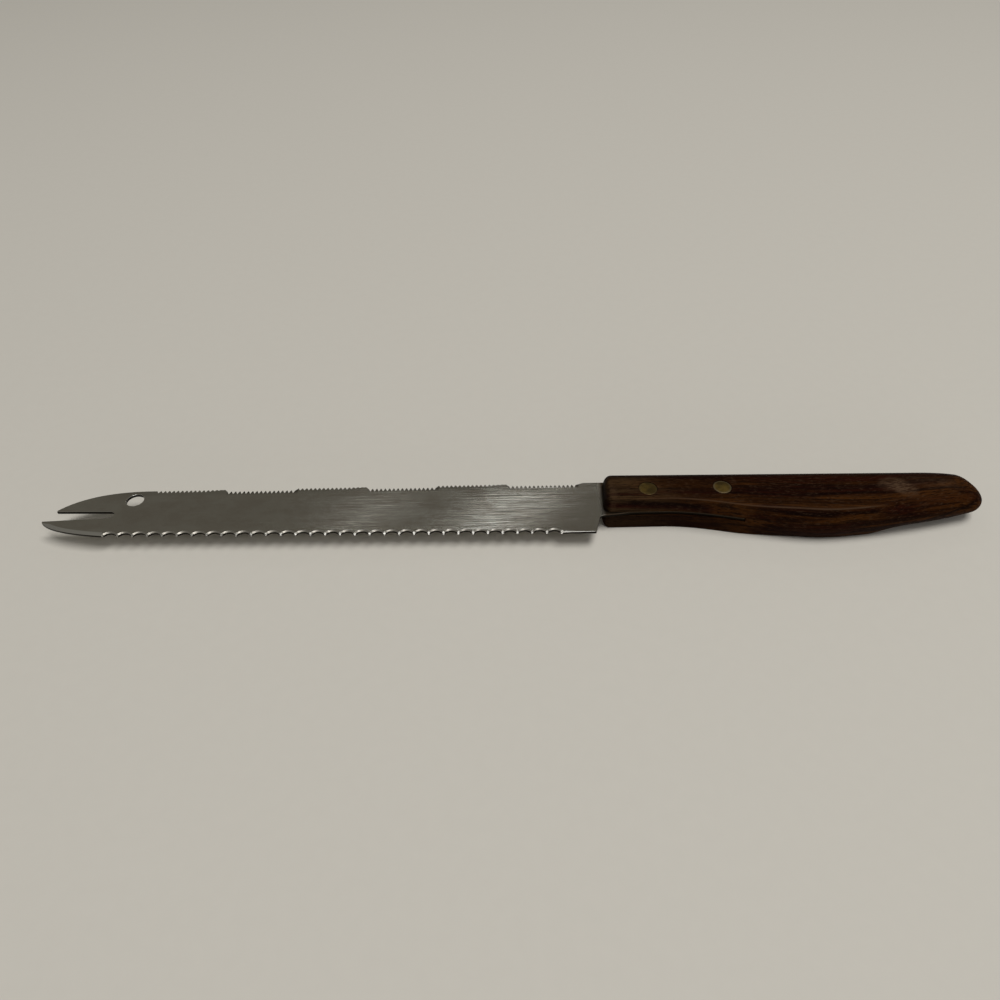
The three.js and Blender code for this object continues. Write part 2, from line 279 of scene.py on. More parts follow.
# Marks on the brass, its roughness and what they add to it, and its relief
BRASS_CLOUDS = Pattern((420.0, 420.0, 420.0), (0.35, 0.7), 3.0)
BRASS_LINES = Pattern((300.0, 5200.0, 300.0), turned=0.5)
BRASS_PITS = Pattern((2600.0, 2600.0, 2600.0), (0.60, 0.76), 1.0, shift=4.0)
PIT_SHARE = 0.7
BRASS_METAL = 0.85
BRASS_ROUGHNESS = 0.45
TARNISH_ROUGHNESS = 0.25
PIT_ROUGHNESS = 0.2
BRASS_RELIEF = 0.03 * MM
LINE_RELIEF = 0.3
# Worn rims of the front and the rear heads: strength of each, where they open and close as shares of the
# head's radius, and how far the tarnish shifts the opening
RIM_STRENGTHS = (0.15, 0.60)
RIM_OPENING = (0.76, 0.9)
RIM_CLOSING = (1.0, 1.2)
RIM_STRAY = 0.5 * MM

# Floor: its fleck, the shade of the dark flecks, roughness and relief
FLOOR_FLECKS = Pattern((240.0, 240.0, 240.0), detail=3.0)
FLOOR_SHADE = 0.97
FLOOR_ROUGHNESS = 0.9
FLOOR_RELIEF = 0.02 * MM

# Soft light panels: name, place and size in metres, power in watts, and colour
LIGHTS = (
    ("overhead", (0.72, -0.455, 3.59), (2.4, 1.5), 88.0, (1.0, 0.97, 0.91)),
    ("right_side", (0.44, -0.71, 0.90), (0.28, 0.28), 1.1, (1.0, 0.98, 0.95)),
    ("front", (-0.06, -1.2, 0.24), (0.80, 0.22), 1.1, (1.0, 0.99, 0.97)),
    ("behind", (-0.028, 0.80, 0.77), (0.12, 0.10), 0.051, (0.95, 0.98, 1.0)),
    ("behind_left", (-0.27, 0.80, 0.77), (0.08, 0.08), 0.013, (0.97, 0.99, 1.0)),
)

# Camera: width of its sensor in millimetres, and the nearest that it sees in metres
SENSOR_WIDTH = 36.0
NEAREST_SEEN = 0.01


def length(label, description, mm):
    return FloatProperty(name=label, description=description, default=mm * MM, precision=5, unit="LENGTH")


def share(label, description, value, highest=1.0):
    return FloatProperty(name=label, description=description, default=value, min=0.0, max=highest)


def count(label, description, number):
    return IntProperty(name=label, description=description, default=number, min=1)


def colour(label, description, value):
    return FloatVectorProperty(
        name=label, description=description, default=value, size=3, subtype="COLOR", min=0.0, max=1.0)


def turn(label, description, degrees):
    return FloatProperty(name=label, description=description, default=math.radians(degrees), unit="ROTATION")


class BladeSizes(PropertyGroup):
    """Sheet, outline, fork and hanging hole of the blade"""

    length: length("Length", "Lower tine's tip to the handle's front", 184.7)
    thickness: length("Thickness", "Thickness of the sheet", 1.1)
    heel_depth: length("Heel depth", "Depth of the blade at the heel", 23.6)
    fore_depth: length("Fore depth", "Depth of the blade at the fork", 20.8)
    heel_gap: length("Heel gap", "Heel's corner to the handle's front", 3.4)
    heel_slant: length("Heel slant", "Lean of the heel over its height", 1.7)
    heel_fillet: length("Heel fillet", "Run of the round between heel and tang", 2.2)
    rim: length("Rim", "Width of the broken edge round the stamped sheet", 0.1)
    lower_run: length("Lower tine run", "Length of the lower tine's curve", 21.6)
    lower_depth: length("Lower tine depth", "Lower tine's tip below the spine", 13.8)
    lower_fullness: length("Lower tine fullness", "Roundness of the lower tine's curve", 3.8)
    lower_sag: length("Lower tine sag", "How far the curve's pull stays above the edge", 1.9)
    lower_bevel: length("Lower tine bevel", "Width of the bevel on the lower tine", 1.3)
    lower_bevel_depth: length("Lower tine bevel depth", "How deep that bevel goes", 0.34)
    upper_setback: length("Upper tine setback", "Upper tip behind the lower tip", 3.2)
    upper_depth: length("Upper tine depth", "Upper tine's tip below the spine", 9.3)
    upper_run: length("Upper tine run", "Length of the upper tine's curve", 28.5)
    upper_fullness: length("Upper tine fullness", "Roundness of the upper tine's curve", 8.6)
    tip_width: length("Tip width", "Blunt width of each tip", 0.5)
    slot_length: length("Slot length", "Lower tip to the slot's root", 22.5)
    slot_width: length("Slot width", "Width of the slot at its root", 3.0)
    slot_depth: length("Slot depth", "Slot's root below the spine", 11.25)
    hole_diameter: length("Hole diameter", "Diameter of the hanging hole", 5.65)
    hole_from_tip: length("Hole from tip", "Lower tip to the hole's middle", 27.45)
    hole_depth: length("Hole depth", "Hole's middle below the spine", 4.4)
    hole_chamfer: length("Hole chamfer", "Width of the broken edge round the hole", 0.1)
    hole_chamfer_depth: length("Hole chamfer depth", "How deep that edge is broken", 0.19)
    tang_length: length("Tang length", "Handle's front to the tang's end", 46.0)
    tang_inset: length("Tang inset", "Tang's edge inside the handle's outline", 0.25)
    tang_shoulder: length("Tang shoulder", "Tang's drop below the belly at the front", 1.1)
    tang_shoulder_run: length("Tang shoulder run", "How far back that drop reaches", 11.0)
    steel: colour("Steel", "Brushed faces", (0.62, 0.60, 0.535))
    steel_dark: colour("Dark steel", "Darker clouds on the faces", (0.54, 0.51, 0.445))
    steel_stained: colour("Stained steel", "Faint brown stains on the faces", (0.49, 0.44, 0.375))
    steel_ground: colour("Ground steel", "Ground bevels and bright scratches", (0.82, 0.81, 0.77))
    steel_hollow: colour("Hollow steel", "Chamfers of the gullets and broken rims", (0.58, 0.56, 0.515))
    # Near-black walls: dull sheared steel, darkened further as painted shade; this colour also paints the
    # shadow along the teeth
    sheared_steel_and_shade: colour("Sheared steel", "Walls left by the stamp, and soot", (0.017, 0.0145, 0.011))
    # The tang's colours in the kerf are painted shade: a dim upper corner, and a painted shadow on its lower
    # corner
    tang_grime_and_shade: colour("Grimy tang", "Tang's upper corner in the kerf", (0.060, 0.044, 0.030))
    tang_shadow: colour("Black tang", "Tang's lower corner in the kerf", (0.008, 0.006, 0.004))


class EdgeSizes(PropertyGroup):
    """Scalloped cutting edge, ground from the upper face"""

    bevel: length("Bevel", "Width of the edge's bevel", 0.6)
    plain_bevel: length("Plain bevel", "Width that the bevel narrows to after the gullets", 0.26)
    heel_bevel: length("Heel bevel", "Width that the bevel narrows to at the heel", 0.06)
    pitch: length("Pitch", "Distance between gullets", 4.788)
    depth: length("Depth", "Depth of a gullet", 1.25)
    radius: length("Radius", "Radius of a gullet", 2.65)
    chamfer: length("Chamfer", "Width of a gullet's chamfer", 0.4)
    chamfer_depth: length("Chamfer depth", "Depth of a gullet's chamfer", 0.4)
    plain: length("Plain length", "Plain edge between the last gullet and the heel", 11.0)


class SawSizes(PropertyGroup):
    """Saw teeth on the spine, in groups at two heights"""

    from_tip: length("From tip", "Lower tip to the first tooth", 33.6)
    groups: count("Groups", "Groups of teeth", 6)
    teeth: count("Teeth", "Teeth in a group", 16)
    group_length: length("Group length", "Length of a group and its step", 24.0)
    pitch: length("Pitch", "Distance between teeth", 1.45)
    flat: length("Flat", "Worn flat on a tooth's tip", 0.1)
    recess: length("Recess", "How far every second group is set down", 0.9)
    raised_depth: length("Raised depth", "Tooth depth in the raised groups", 1.1)
    recessed_depth: length("Recessed depth", "Tooth depth in the set-down groups", 1.4)
    fading: count("Fading teeth", "Teeth that die out at a raised group's end", 4)
    runout: length("Runout", "Slope from the last group up to the spine", 1.6)


class HandleSizes(PropertyGroup):
    """Form and wood of the handle"""

    length: length("Length", "Front to butt", 128.3)
    thickness: length("Thickness", "Across the flanks", 13.2)
    spine_rise: length("Spine rise", "Handle's spine above the blade's", 0.6)
    spine_fall: length("Spine fall", "How far the spine falls to the butt", 1.9)
    spine_rounding: length("Spine rounding", "Depth of the rounded spine", 6.0)
    grip_depth: length("Grip depth", "Depth at the grip", 15.2)
    grip_end: length("Grip end", "Where the grip starts to deepen", 20.0)
    palm_place: length("Palm place", "Where the palm swell is deepest", 74.0)
    palm_depth: length("Palm depth", "Depth at the palm swell", 24.0)
    butt_rise: length("Butt rise", "Rise of the belly toward the butt", 8.4)
    butt_power: share("Butt curve", "How late the belly rises", 1.5, 4.0)
    nose_depth: length("Nose depth", "Butt's nose below the spine", 11.8)
    butt_upper: length("Upper butt rounding", "Run of the butt's upper curve", 7.0)
    butt_lower: length("Lower butt rounding", "Run of the butt's lower curve", 4.5)
    taper: length("Taper", "Run over which the flanks draw in", 22.0)
    taper_power: share("Taper curve", "How late the flanks draw in", 2.4, 6.0)
    grip_crown: length("Grip crown", "Arch of the belly at the grip", 0.1)
    palm_crown: length("Palm crown", "Arch of the belly at the palm", 2.2)
    crown_start: length("Crown start", "Where the belly starts to arch", 42.0)
    crown_end: length("Crown end", "Where the belly is fully arched", 66.0)
    crease_end: length("Crease end", "Where the crease starts to die out", 88.0)
    crease_fade: length("Crease fade", "Run over which the crease dies out", 24.0)
    crease_rounding: length("Crease rounding", "How far the crease is worn round", 0.45)
    front_rounding: length("Front rounding", "Radius round the front face", 2.6)
    front_lean: length("Front lean", "Lean of the front face", 1.2)
    front_lean_run: length("Front lean run", "How far back the lean reaches", 14.0)
    kerf_clearance: length("Kerf clearance", "Gap between tang and kerf", 0.3)
    wood: colour("Wood", "Main brown of the heartwood", (0.0195, 0.0058, 0.0016))
    # Olive colour painted over the front as a sheen
    wood_olive_sheen: colour("Olive wood", "Paler wood toward the front", (0.051, 0.0310, 0.0145))
    wood_warm: colour("Warm wood", "Orange-brown patches", (0.053, 0.0185, 0.0038))
    wood_red: colour("Red wood", "Maroon patches", (0.0215, 0.0046, 0.0021))
    wood_dark: colour("Dark wood", "Near-black streaks", (0.0048, 0.0015, 0.0009))
    # Pale colour for the worn crease and patches, and for the painted sheen of the pale patches at the front
    # and near the butt
    worn: colour("Worn wood", "Pale wear on the creases and in patches", (0.075, 0.044, 0.026))


class RivetSizes(PropertyGroup):
    """Two-part rivets that hold the tang"""

    from_front: length("From front", "Handle's front to the front rivet", 14.8)
    from_tang_end: length("From tang end", "Rear rivet to the tang's end", 6.4)
    depth: length("Depth", "Rivets below the blade's spine", 10.0)
    head_diameter: length("Head diameter", "Diameter of a head", 6.1)
    head_thickness: length("Head thickness", "Thickness of a head", 1.2)
    head_sink: length("Head sink", "Head's face below the wood", 0.05)
    head_dome: length("Head dome", "Rise of the head's middle over its rim", 0.05)
    rim_rounding: length("Rim rounding", "Round on the head's rim", 0.16)
    barrel: length("Barrel diameter", "Diameter of the hollow barrel", 4.0)
    post: length("Post diameter", "Diameter of the solid post", 2.4)
    clearance: length("Clearance", "Gap round the posts and heads", 0.1)
    brass: colour("Brass", "Dull olive brass", (0.135, 0.088, 0.019))
    brass_dark: colour("Dark brass", "Tarnish in clouds and pits", (0.065, 0.042, 0.010))
    brass_rim: colour("Brass rim", "Paler worn rim", (0.160, 0.125, 0.078))


class StageSizes(PropertyGroup):
    """Camera, floor and the light of the room"""

    aim: FloatVectorProperty(
        name="Aim", description="Point at the middle of the picture",
        default=(-0.06143, 0.00272, 0.0066), subtype="TRANSLATION")
    distance: length("Distance", "Camera to the aim", 270.7)
    elevation: turn("Elevation", "Camera above the horizon", 43.0)
    azimuth: turn("Azimuth", "Camera's turn to the left of straight on", 1.67)
    lens: FloatProperty(name="Lens", description="Focal length in millimetres", default=28.8)
    floor_size: length("Floor size", "Width of the floor", 6000.0)
    floor: colour("Floor", "Pale floor", (0.66, 0.645, 0.61))
    room: colour("Room", "Light from all round", (0.128, 0.122, 0.107))


def lerp(low, high, part):
    return low + (high - low) * part


def held(value):
    return min(1.0, max(0.0, value))


def smooth(value, low, high):
    part = held((value - low) / (high - low))
    return part * part * (3 - 2 * part)


def quarter_ellipse(part):
    return 1 - math.sqrt(1 - held(part) ** 2)


def bend(first, pull, last, steps):
    """Points along a curve from first to last that is pulled toward a third point, first left out"""
    points = []
    for step in range(1, steps + 1):
        t = step / steps
        points.append(tuple(
            (1 - t) ** 2 * a + 2 * t * (1 - t) * b + t * t * c for a, b, c in zip(first, pull, last)))
    return points


class Value:
    """Output of a node, used as a number in expressions"""

    def __init__(self, graph, socket):
        self.graph = graph
        self.socket = socket

    def __add__(self, other):
        return self.graph.math("ADD", self, other)

    def __radd__(self, other):
        return self.graph.math("ADD", other, self)

    def __sub__(self, other):
        return self.graph.math("SUBTRACT", self, other)

    def __rsub__(self, other):
        return self.graph.math("SUBTRACT", other, self)

    def __mul__(self, other):
        return self.graph.math("MULTIPLY", self, other)

    def __rmul__(self, other):
        return self.graph.math("MULTIPLY", other, self)

    def __truediv__(self, other):
        return self.graph.math("DIVIDE", self, other)

    def __rtruediv__(self, other):
        return self.graph.math("DIVIDE", other, self)

    def __pow__(self, other):
        return self.graph.math("POWER", self, other)

    def __rpow__(self, other):
        return self.graph.math("POWER", other, self)

    def __abs__(self):
        return self.graph.math("ABSOLUTE", self)

    def floor(self):
        return self.graph.math("FLOOR", self)

    def least(self, other):
        return self.graph.math("MINIMUM", self, other)

    def most(self, other):
        return self.graph.math("MAXIMUM", self, other)


class Graph:
    """Node tree that is filled one node at a time"""

    def __init__(self, tree):
        self.tree = tree
        tree.nodes.clear()

    def add(self, kind, settings=None, links=None, out=0):
        """Adds a node: its settings first, then the values or links of its sockets"""
        node = self.tree.nodes.new(kind)
        for name, value in (settings or {}).items():
            setattr(node, name, value)
        for key, value in (links or {}).items():
            socket = self.pick(node.inputs, key)
            for item in value if isinstance(value, list) else [value]:
                if isinstance(item, Value):
                    self.tree.links.new(item.socket, socket)
                else:
                    socket.default_value = item
        return Value(self, self.pick(node.outputs, out)) if len(node.outputs) else None

    @staticmethod
    def pick(sockets, key):
        if isinstance(key, int):
            return sockets[key]
        return next(s for s in sockets if s.enabled and key in (s.identifier, s.name))

    def math(self, operation, *terms):
        return self.add("ShaderNodeMath", {"operation": operation}, dict(enumerate(terms)))

    def vector_math(self, operation, *terms):
        return self.add("ShaderNodeVectorMath", {"operation": operation}, dict(enumerate(terms)), "Vector")

    def vector(self, x, y, z):
        return self.add("ShaderNodeCombineXYZ", {}, {"X": x, "Y": y, "Z": z})

    def parts(self, vector):
        """x, y and z of a vector"""
        return [self.add("ShaderNodeSeparateXYZ", {}, {"Vector": vector}, axis) for axis in "XYZ"]

    def noise(self, place, pattern):
        """Values of a pattern, from 0 to 1"""
        spread = self.add("ShaderNodeMapping", {}, {
            "Vector": place,
            "Location": (pattern.shift, pattern.shift, pattern.shift),
            "Rotation": (0.0, 0.0, pattern.turned),
            "Scale": pattern.stretch,
        })
        return self.add("ShaderNodeTexNoise", {}, {
            "Vector": spread, "Scale": 1.0, "Detail": pattern.detail, "Roughness": pattern.roughness})

    def rise(self, value, low, high):
        """0 below low, 1 above high, smooth between"""
        return self.add("ShaderNodeMapRange", {"interpolation_type": "SMOOTHSTEP"}, {
            "Value": value, "From Min": low, "From Max": high})

    def marks(self, place, pattern):
        """Marks that a pattern leaves, from 0 to 1"""
        return self.rise(self.noise(place, pattern), *pattern.band)

    def mix(self, part, first, second):
        """Colour between two colours"""
        return self.add("ShaderNodeMix", {"data_type": "RGBA"}, {
            "Factor_Float": part, "A_Color": solid(first), "B_Color": solid(second)}, "Result_Color")

    def coats(self, base, *layers):
        """Base colour under layers, each given as the share it takes and its colour"""
        for part, tint in layers:
            base = self.mix(part, base, tint)
        return base


def solid(tint):
    """Colour for a socket: that of another node, or plain red, green and blue made opaque"""
    return tint if isinstance(tint, Value) else (*tint, 1.0)


def new_finish(name):
    finish = bpy.data.materials.new(name)
    finish.use_nodes = True
    return finish, Graph(finish.node_tree)


def close_finish(graph, sockets, height, depth, facing=None):
    """Ends a finish: a shader over a surface raised and sunk by the height times the depth"""
    relief = {"Strength": 1.0, "Distance": depth, "Height": height}
    if facing:
        relief["Normal"] = facing
    relief = graph.add("ShaderNodeBump", {}, relief)
    shader = graph.add("ShaderNodeBsdfPrincipled", {}, {**sockets, "Normal": relief})
    graph.add("ShaderNodeOutputMaterial", {}, {"Surface": shader})


def attribute(graph, name):
    return graph.add("ShaderNodeAttribute", {"attribute_name": name}, {}, "Fac")


def place_on(graph):
    """Place on the knife, and its x, y and z from the datums"""
    place = graph.add("ShaderNodeTexCoord", {}, {}, "Object")
    return place, graph.parts(graph.vector_math("SUBTRACT", place, DATUM))


def set_down_groups(graph, x, blade, saw):
    """1 below the set-down groups of teeth, the second of each pair of groups"""
    pairs = (x + (blade.length - saw.from_tip)) / (2 * saw.group_length)
    return graph.rise(pairs - pairs.floor(), *SET_DOWN_PART) * graph.rise(pairs, *FIRST_TOOTH_PART)


def sheet_normal(graph, y):
    """Normal of the slightly twisted and leaning sheet"""
    outward = graph.add("ShaderNodeNewGeometry", {}, {}, "Normal")
    bent = graph.vector((y + TWIST_LINE) * TWIST, graph.rise(y, *LEAN_HEIGHTS) * LEAN, 0.0)
    return graph.vector_math("NORMALIZE", graph.vector_math("ADD", outward, bent))


def brushed_steel(blade, saw):
    """Satin steel, finely brushed along the blade, with ground bevels, dull walls and a grimy tang"""
    finish, graph = new_finish("brushed_steel")
    place, (x, y, z) = place_on(graph)
    ground = attribute(graph, "ground")
    hollow = attribute(graph, "hollow")
    sheared = attribute(graph, "sheared")
    streak = graph.noise(place, STEEL_STREAKS)
    brushing = graph.noise(place, STEEL_BRUSHING)
    cloud = graph.noise(place, STEEL_CLOUDS)
    clouded = graph.rise(cloud, *STEEL_CLOUDS.band)
    stained = graph.marks(place, STEEL_STAINS)
    scratched = 0.0
    for pattern in STEEL_SCRATCHES:
        scratched = graph.marks(place, pattern) + scratched
    set_down = set_down_groups(graph, x, blade, saw)
    # Painted shadow along the saw teeth under the spine, deepest on the set-down groups
    painted_tooth_shadow = graph.rise(y, *TOOTH_SHADOW_HEIGHTS) * (set_down * TOOTH_SHADOW_SHARE + clouded * CLOUD_SHADOW_SHARE)
    in_kerf = graph.rise(x, *KERF_SHADE_PLACES)
    tint = graph.coats(
        blade.steel_dark,
        (clouded, blade.steel),
        (stained * STAIN_SHARE, blade.steel_stained),
        (scratched.least(1.0) * SCRATCH_SHARE, blade.steel_ground),
        (painted_tooth_shadow, blade.sheared_steel_and_shade),
        (ground, blade.steel_ground),
        (hollow, blade.steel_hollow),
        # Walls are near-black: partly dull sheared steel, partly painted shade
        (sheared, blade.sheared_steel_and_shade),
        # Painted shade on the tang inside the kerf, with a painted shadow on its lower corner
        (in_kerf, graph.mix(graph.rise(z, *TANG_SHADE_HEIGHTS), blade.tang_shadow, blade.tang_grime_and_shade)),
    )
    rough = FACE_ROUGHNESS + (streak - MIDDLE) * STREAK_ROUGHNESS
    rough = rough + (cloud - MIDDLE) * CLOUD_ROUGHNESS + scratched * SCRATCH_ROUGHNESS
    for part, value in (
        (ground, GROUND_ROUGHNESS),
        (hollow, HOLLOW_ROUGHNESS),
        (sheared.most(in_kerf), SHEARED_ROUGHNESS),
    ):
        rough = rough + part * (value - rough)
    height = brushing * BRUSHING_RELIEF + streak * STREAK_RELIEF - scratched * SCRATCH_RELIEF
    sockets = {"Base Color": tint, "Metallic": 1.0, "Roughness": rough}
    close_finish(graph, sockets, height, STEEL_RELIEF, sheet_normal(graph, y))
    return finish


def vein(graph, x, across, start, end, width):
    """Dark line through the wood between two places, thinning out at both ends"""
    slope = (end[1] - start[1]) / (end[0] - start[0])
    gap = across - (x - start[0] * MM) * slope - start[1] * MM
    middle = 1 - graph.rise(abs(gap), width * VEIN_CORE * MM, width * MM)
    fade = VEIN_FADE * (end[0] - start[0])
    opening = graph.rise(x, start[0] * MM, (start[0] + fade) * MM)
    closing = graph.rise(x, (end[0] - fade) * MM, end[0] * MM)
    return middle * opening * (1 - closing)


def patch(graph, x, y, middle, reach):
    """1 in the middle of an oval patch, 0 outside it"""
    across = (x - middle[0] * MM) / (reach[0] * MM)
    down = (y - middle[1] * MM) / (reach[1] * MM)
    return 1 - graph.rise(across * across + down * down, 0.0, 1.0)


def along_grain(graph, place, x):
    """Place in the wood, moved across so that patterns on it follow the bends and the sway of the grain"""
    fall = 0.0
    for start, end, drop in GRAIN_BENDS:
        fall = graph.rise(x, start, end) * drop + fall
    bent = graph.vector_math("ADD", place, graph.vector(0.0, fall, 0.0))
    sway = graph.add("ShaderNodeTexNoise", {}, {
        "Vector": place, "Scale": SWAY_SCALE, "Detail": SWAY_DETAIL}, "Color")
    return graph.vector_math("MULTIPLY_ADD", sway, SWAY_REACH, bent)


def dark_hardwood(handle):
    """Dark red-brown wood, veined near-black along the grain, worn pale on its crease and in patches, with
    painted sheen and shade
    """
    finish, graph = new_finish("dark_hardwood")
    place, (x, y, z) = place_on(graph)
    wear = attribute(graph, "wear")
    grain = along_grain(graph, place, x)
    streak = graph.noise(grain, WOOD_STREAKS)
    figure = graph.noise(grain, WOOD_FIGURE)
    fibre = graph.noise(grain, WOOD_FIBRE)
    fleck = graph.noise(grain, WOOD_FLECKS)
    pores = graph.marks(grain, WOOD_PORES)
    mottle = graph.noise(place, WOOD_MOTTLE)
    wander = (graph.noise(place, WOOD_WANDER) - MIDDLE) * WANDER_REACH
    belly = 1 - graph.rise(y, *BELLY_HEIGHTS)
    # Front of the handle, where an olive sheen is painted and the figure shows less
    front = 1 - graph.rise(x, *SHEEN_FRONT_PLACES)
    # Painted shade on the rounded spine, which turns away from the light
    spine = graph.rise(y, *SPINE_SHADE_HEIGHTS)
    # Painted shade on the front face
    front_face_shade = 1 - graph.rise(x, *FRONT_FACE_SHADE_PLACES)
    # Painted shadow on the belly under the tang, toward the front
    under_tang_shadow = (1 - graph.rise(z, *UNDER_TANG_SHADOW_HEIGHTS)) * (1 - graph.rise(x, *UNDER_TANG_SHADOW_PLACES)) * belly
    veins = 0.0
    for axis, start, end, width in VEINS:
        if axis == "Y":
            veins = vein(graph, x, y + wander, start, end, width) + veins
        else:
            veins = vein(graph, x, z + wander, start, end, width) * belly + veins
    patches = {"worn": 0.0, "warm": 0.0, "dark": 0.0}
    for name, middle, reach, strength in PATCHES:
        spot = patch(graph, x + wander * PATCH_STRAY, y + wander, middle, reach)
        patches[name] = spot * strength + patches[name]
    # Painted olive sheen toward the front
    brown = graph.mix(front * FRONT_OLIVE_SHEEN, handle.wood, handle.wood_olive_sheen)
    warm = graph.rise(figure, *WOOD_FIGURE.band) * (1 - front * FRONT_WARM_LOSS) + patches["warm"]
    dark = graph.rise(streak, *WOOD_STREAKS.band) * (DARK_STREAK_SHARE - front * FRONT_STREAK_LOSS)
    veined = veins.least(1.0) * (VEIN_FIBRE[0] + fibre * VEIN_FIBRE[1]).least(1.0)
    scuffed = graph.rise(mottle + (fleck - MIDDLE) * SCUFF_FLECK, *WOOD_MOTTLE.band)
    creased = wear * (CREASE_FIBRE[0] + fibre * CREASE_FIBRE[1]) * (1 - front * FRONT_WEAR_LOSS)
    # Pale wear on the crease, and pale patches that are partly wear and partly painted sheen
    pale = (creased + patches["worn"] * (SCUFF_LEAST + scuffed * SCUFF_MOTTLE)).least(1.0)
    specks = graph.rise(fleck, *WOOD_FLECKS.band)
    # All the painted shade and shadow of the handle
    painted_shade = (spine * SPINE_SHADE).most(front_face_shade * FRONT_FACE_SHADE).most(under_tang_shadow * UNDER_TANG_SHADOW_SHARE)
    tint = graph.coats(
        handle.wood_red,
        (graph.rise(figure, *BROWN_BAND), brown),
        (warm.least(1.0) * WARM_SHARE, handle.wood_warm),
        (dark.most(patches["dark"]), handle.wood_dark),
        (graph.rise(fibre, *WOOD_FIBRE.band) * FIBRE_SHARE, handle.wood_dark),
        (veined, handle.wood_dark),
        (pores * PORE_SHARE, handle.wood_dark),
        (pale.most(specks * SPECK_SHARE), handle.worn),
        (painted_shade, handle.wood_dark),
    )
    rough = WOOD_ROUGHNESS + (figure - MIDDLE) * FIGURE_ROUGHNESS
    rough = rough + pores * PORE_ROUGHNESS + pale * WORN_ROUGHNESS
    height = fibre * FIBRE_RELIEF - pores + streak
    sockets = {"Base Color": tint, "Roughness": rough, "Specular IOR Level": WOOD_GLOSS}
    close_finish(graph, sockets, height, WOOD_RELIEF)
    return finish


def dull_brass(rivet, places):
    """Brass ground flush with the wood, dulled to olive; the heads have a paler worn rim"""
    finish, graph = new_finish("dull_brass")
    place, (x, y, _) = place_on(graph)
    cloud = graph.noise(place, BRASS_CLOUDS)
    lines = graph.noise(place, BRASS_LINES)
    pits = graph.marks(place, BRASS_PITS)
    radius = rivet.head_diameter / 2
    opening = [radius * part for part in RIM_OPENING]
    closing = [radius * part for part in RIM_CLOSING]
    down = y + rivet.depth
    rim = 0.0
    for middle, strength in zip(places, RIM_STRENGTHS):
        across = x - middle
        out = (across * across + down * down) ** 0.5
        ring = graph.rise(out + (cloud - MIDDLE) * RIM_STRAY, *opening)
        rim = ring * (1 - graph.rise(out, *closing)) * strength + rim
    tint = graph.coats(
        rivet.brass_dark,
        (graph.rise(cloud, *BRASS_CLOUDS.band), rivet.brass),
        (rim, rivet.brass_rim),
        (pits * PIT_SHARE, rivet.brass_dark),
    )
    rough = BRASS_ROUGHNESS + (cloud - MIDDLE) * TARNISH_ROUGHNESS + pits * PIT_ROUGHNESS
    height = lines * LINE_RELIEF - pits
    sockets = {"Base Color": tint, "Metallic": BRASS_METAL, "Roughness": rough}
    close_finish(graph, sockets, height, BRASS_RELIEF)
    return finish


def pale_floor(stage):
    """Pale matt floor with a faint fleck"""
    finish, graph = new_finish("pale_floor")
    place = graph.add("ShaderNodeTexCoord", {}, {}, "Object")
    fleck = graph.noise(place, FLOOR_FLECKS)
    tint = graph.mix(fleck, [part * FLOOR_SHADE for part in stage.floor], stage.floor)
    close_finish(graph, {"Base Color": tint, "Roughness": FLOOR_ROUGHNESS}, fleck, FLOOR_RELIEF)
    return finish


def node_tree(name, sizes):
    """Empty geometry tree with a geometry in and out and the named inputs; also gives the inputs' values"""
    tree = bpy.data.node_groups.new(name, "GeometryNodeTree")
    tree.interface.new_socket(name="Geometry", in_out="INPUT", socket_type="NodeSocketGeometry")
    for label, kind in sizes.items():
        tree.interface.new_socket(name=label, in_out="INPUT", socket_type="NodeSocket" + kind)
    tree.interface.new_socket(name="Geometry", in_out="OUTPUT", socket_type="NodeSocketGeometry")
    graph = Graph(tree)
    source = graph.tree.nodes.new("NodeGroupInput")
    given = {socket.name: Value(graph, socket) for socket in source.outputs if socket.name}
    return graph, given


def close_tree(graph, geometry, finish):
    """Ends a tree with plain geometry in its finish"""
    whole = graph.add("GeometryNodeRealizeInstances", {}, {"Geometry": geometry})
    dressed = graph.add("GeometryNodeSetMaterial", {}, {"Geometry": whole, "Material": finish})
    graph.add("NodeGroupOutput", {}, {"Geometry": dressed})
    return graph.tree


def row_of(graph, number, start, step):
    """Points in a row"""
    return graph.add("GeometryNodeMeshLine", {"mode": "OFFSET"}, {
        "Count": number, "Start Location": start, "Offset": step})


def moved(graph, shape, by):
    return graph.add("GeometryNodeTransform", {}, {"Geometry": shape, "Translation": by})


def copies(graph, points, shape, scale=(1.0, 1.0, 1.0)):
    """Copy of a shape on each point"""
    return graph.add("GeometryNodeInstanceOnPoints", {}, {
        "Points": points, "Instance": shape, "Scale": scale})


def cylinder(graph, sides, radius, depth):
    return graph.add("GeometryNodeMeshCylinder", {}, {"Vertices": sides, "Radius": radius, "Depth": depth})


def cut(graph, shape, cutters):
    return graph.add("GeometryNodeMeshBoolean", {"operation": "DIFFERENCE", "solver": "MANIFOLD"}, {
        "Mesh 1": shape, "Mesh 2": cutters})


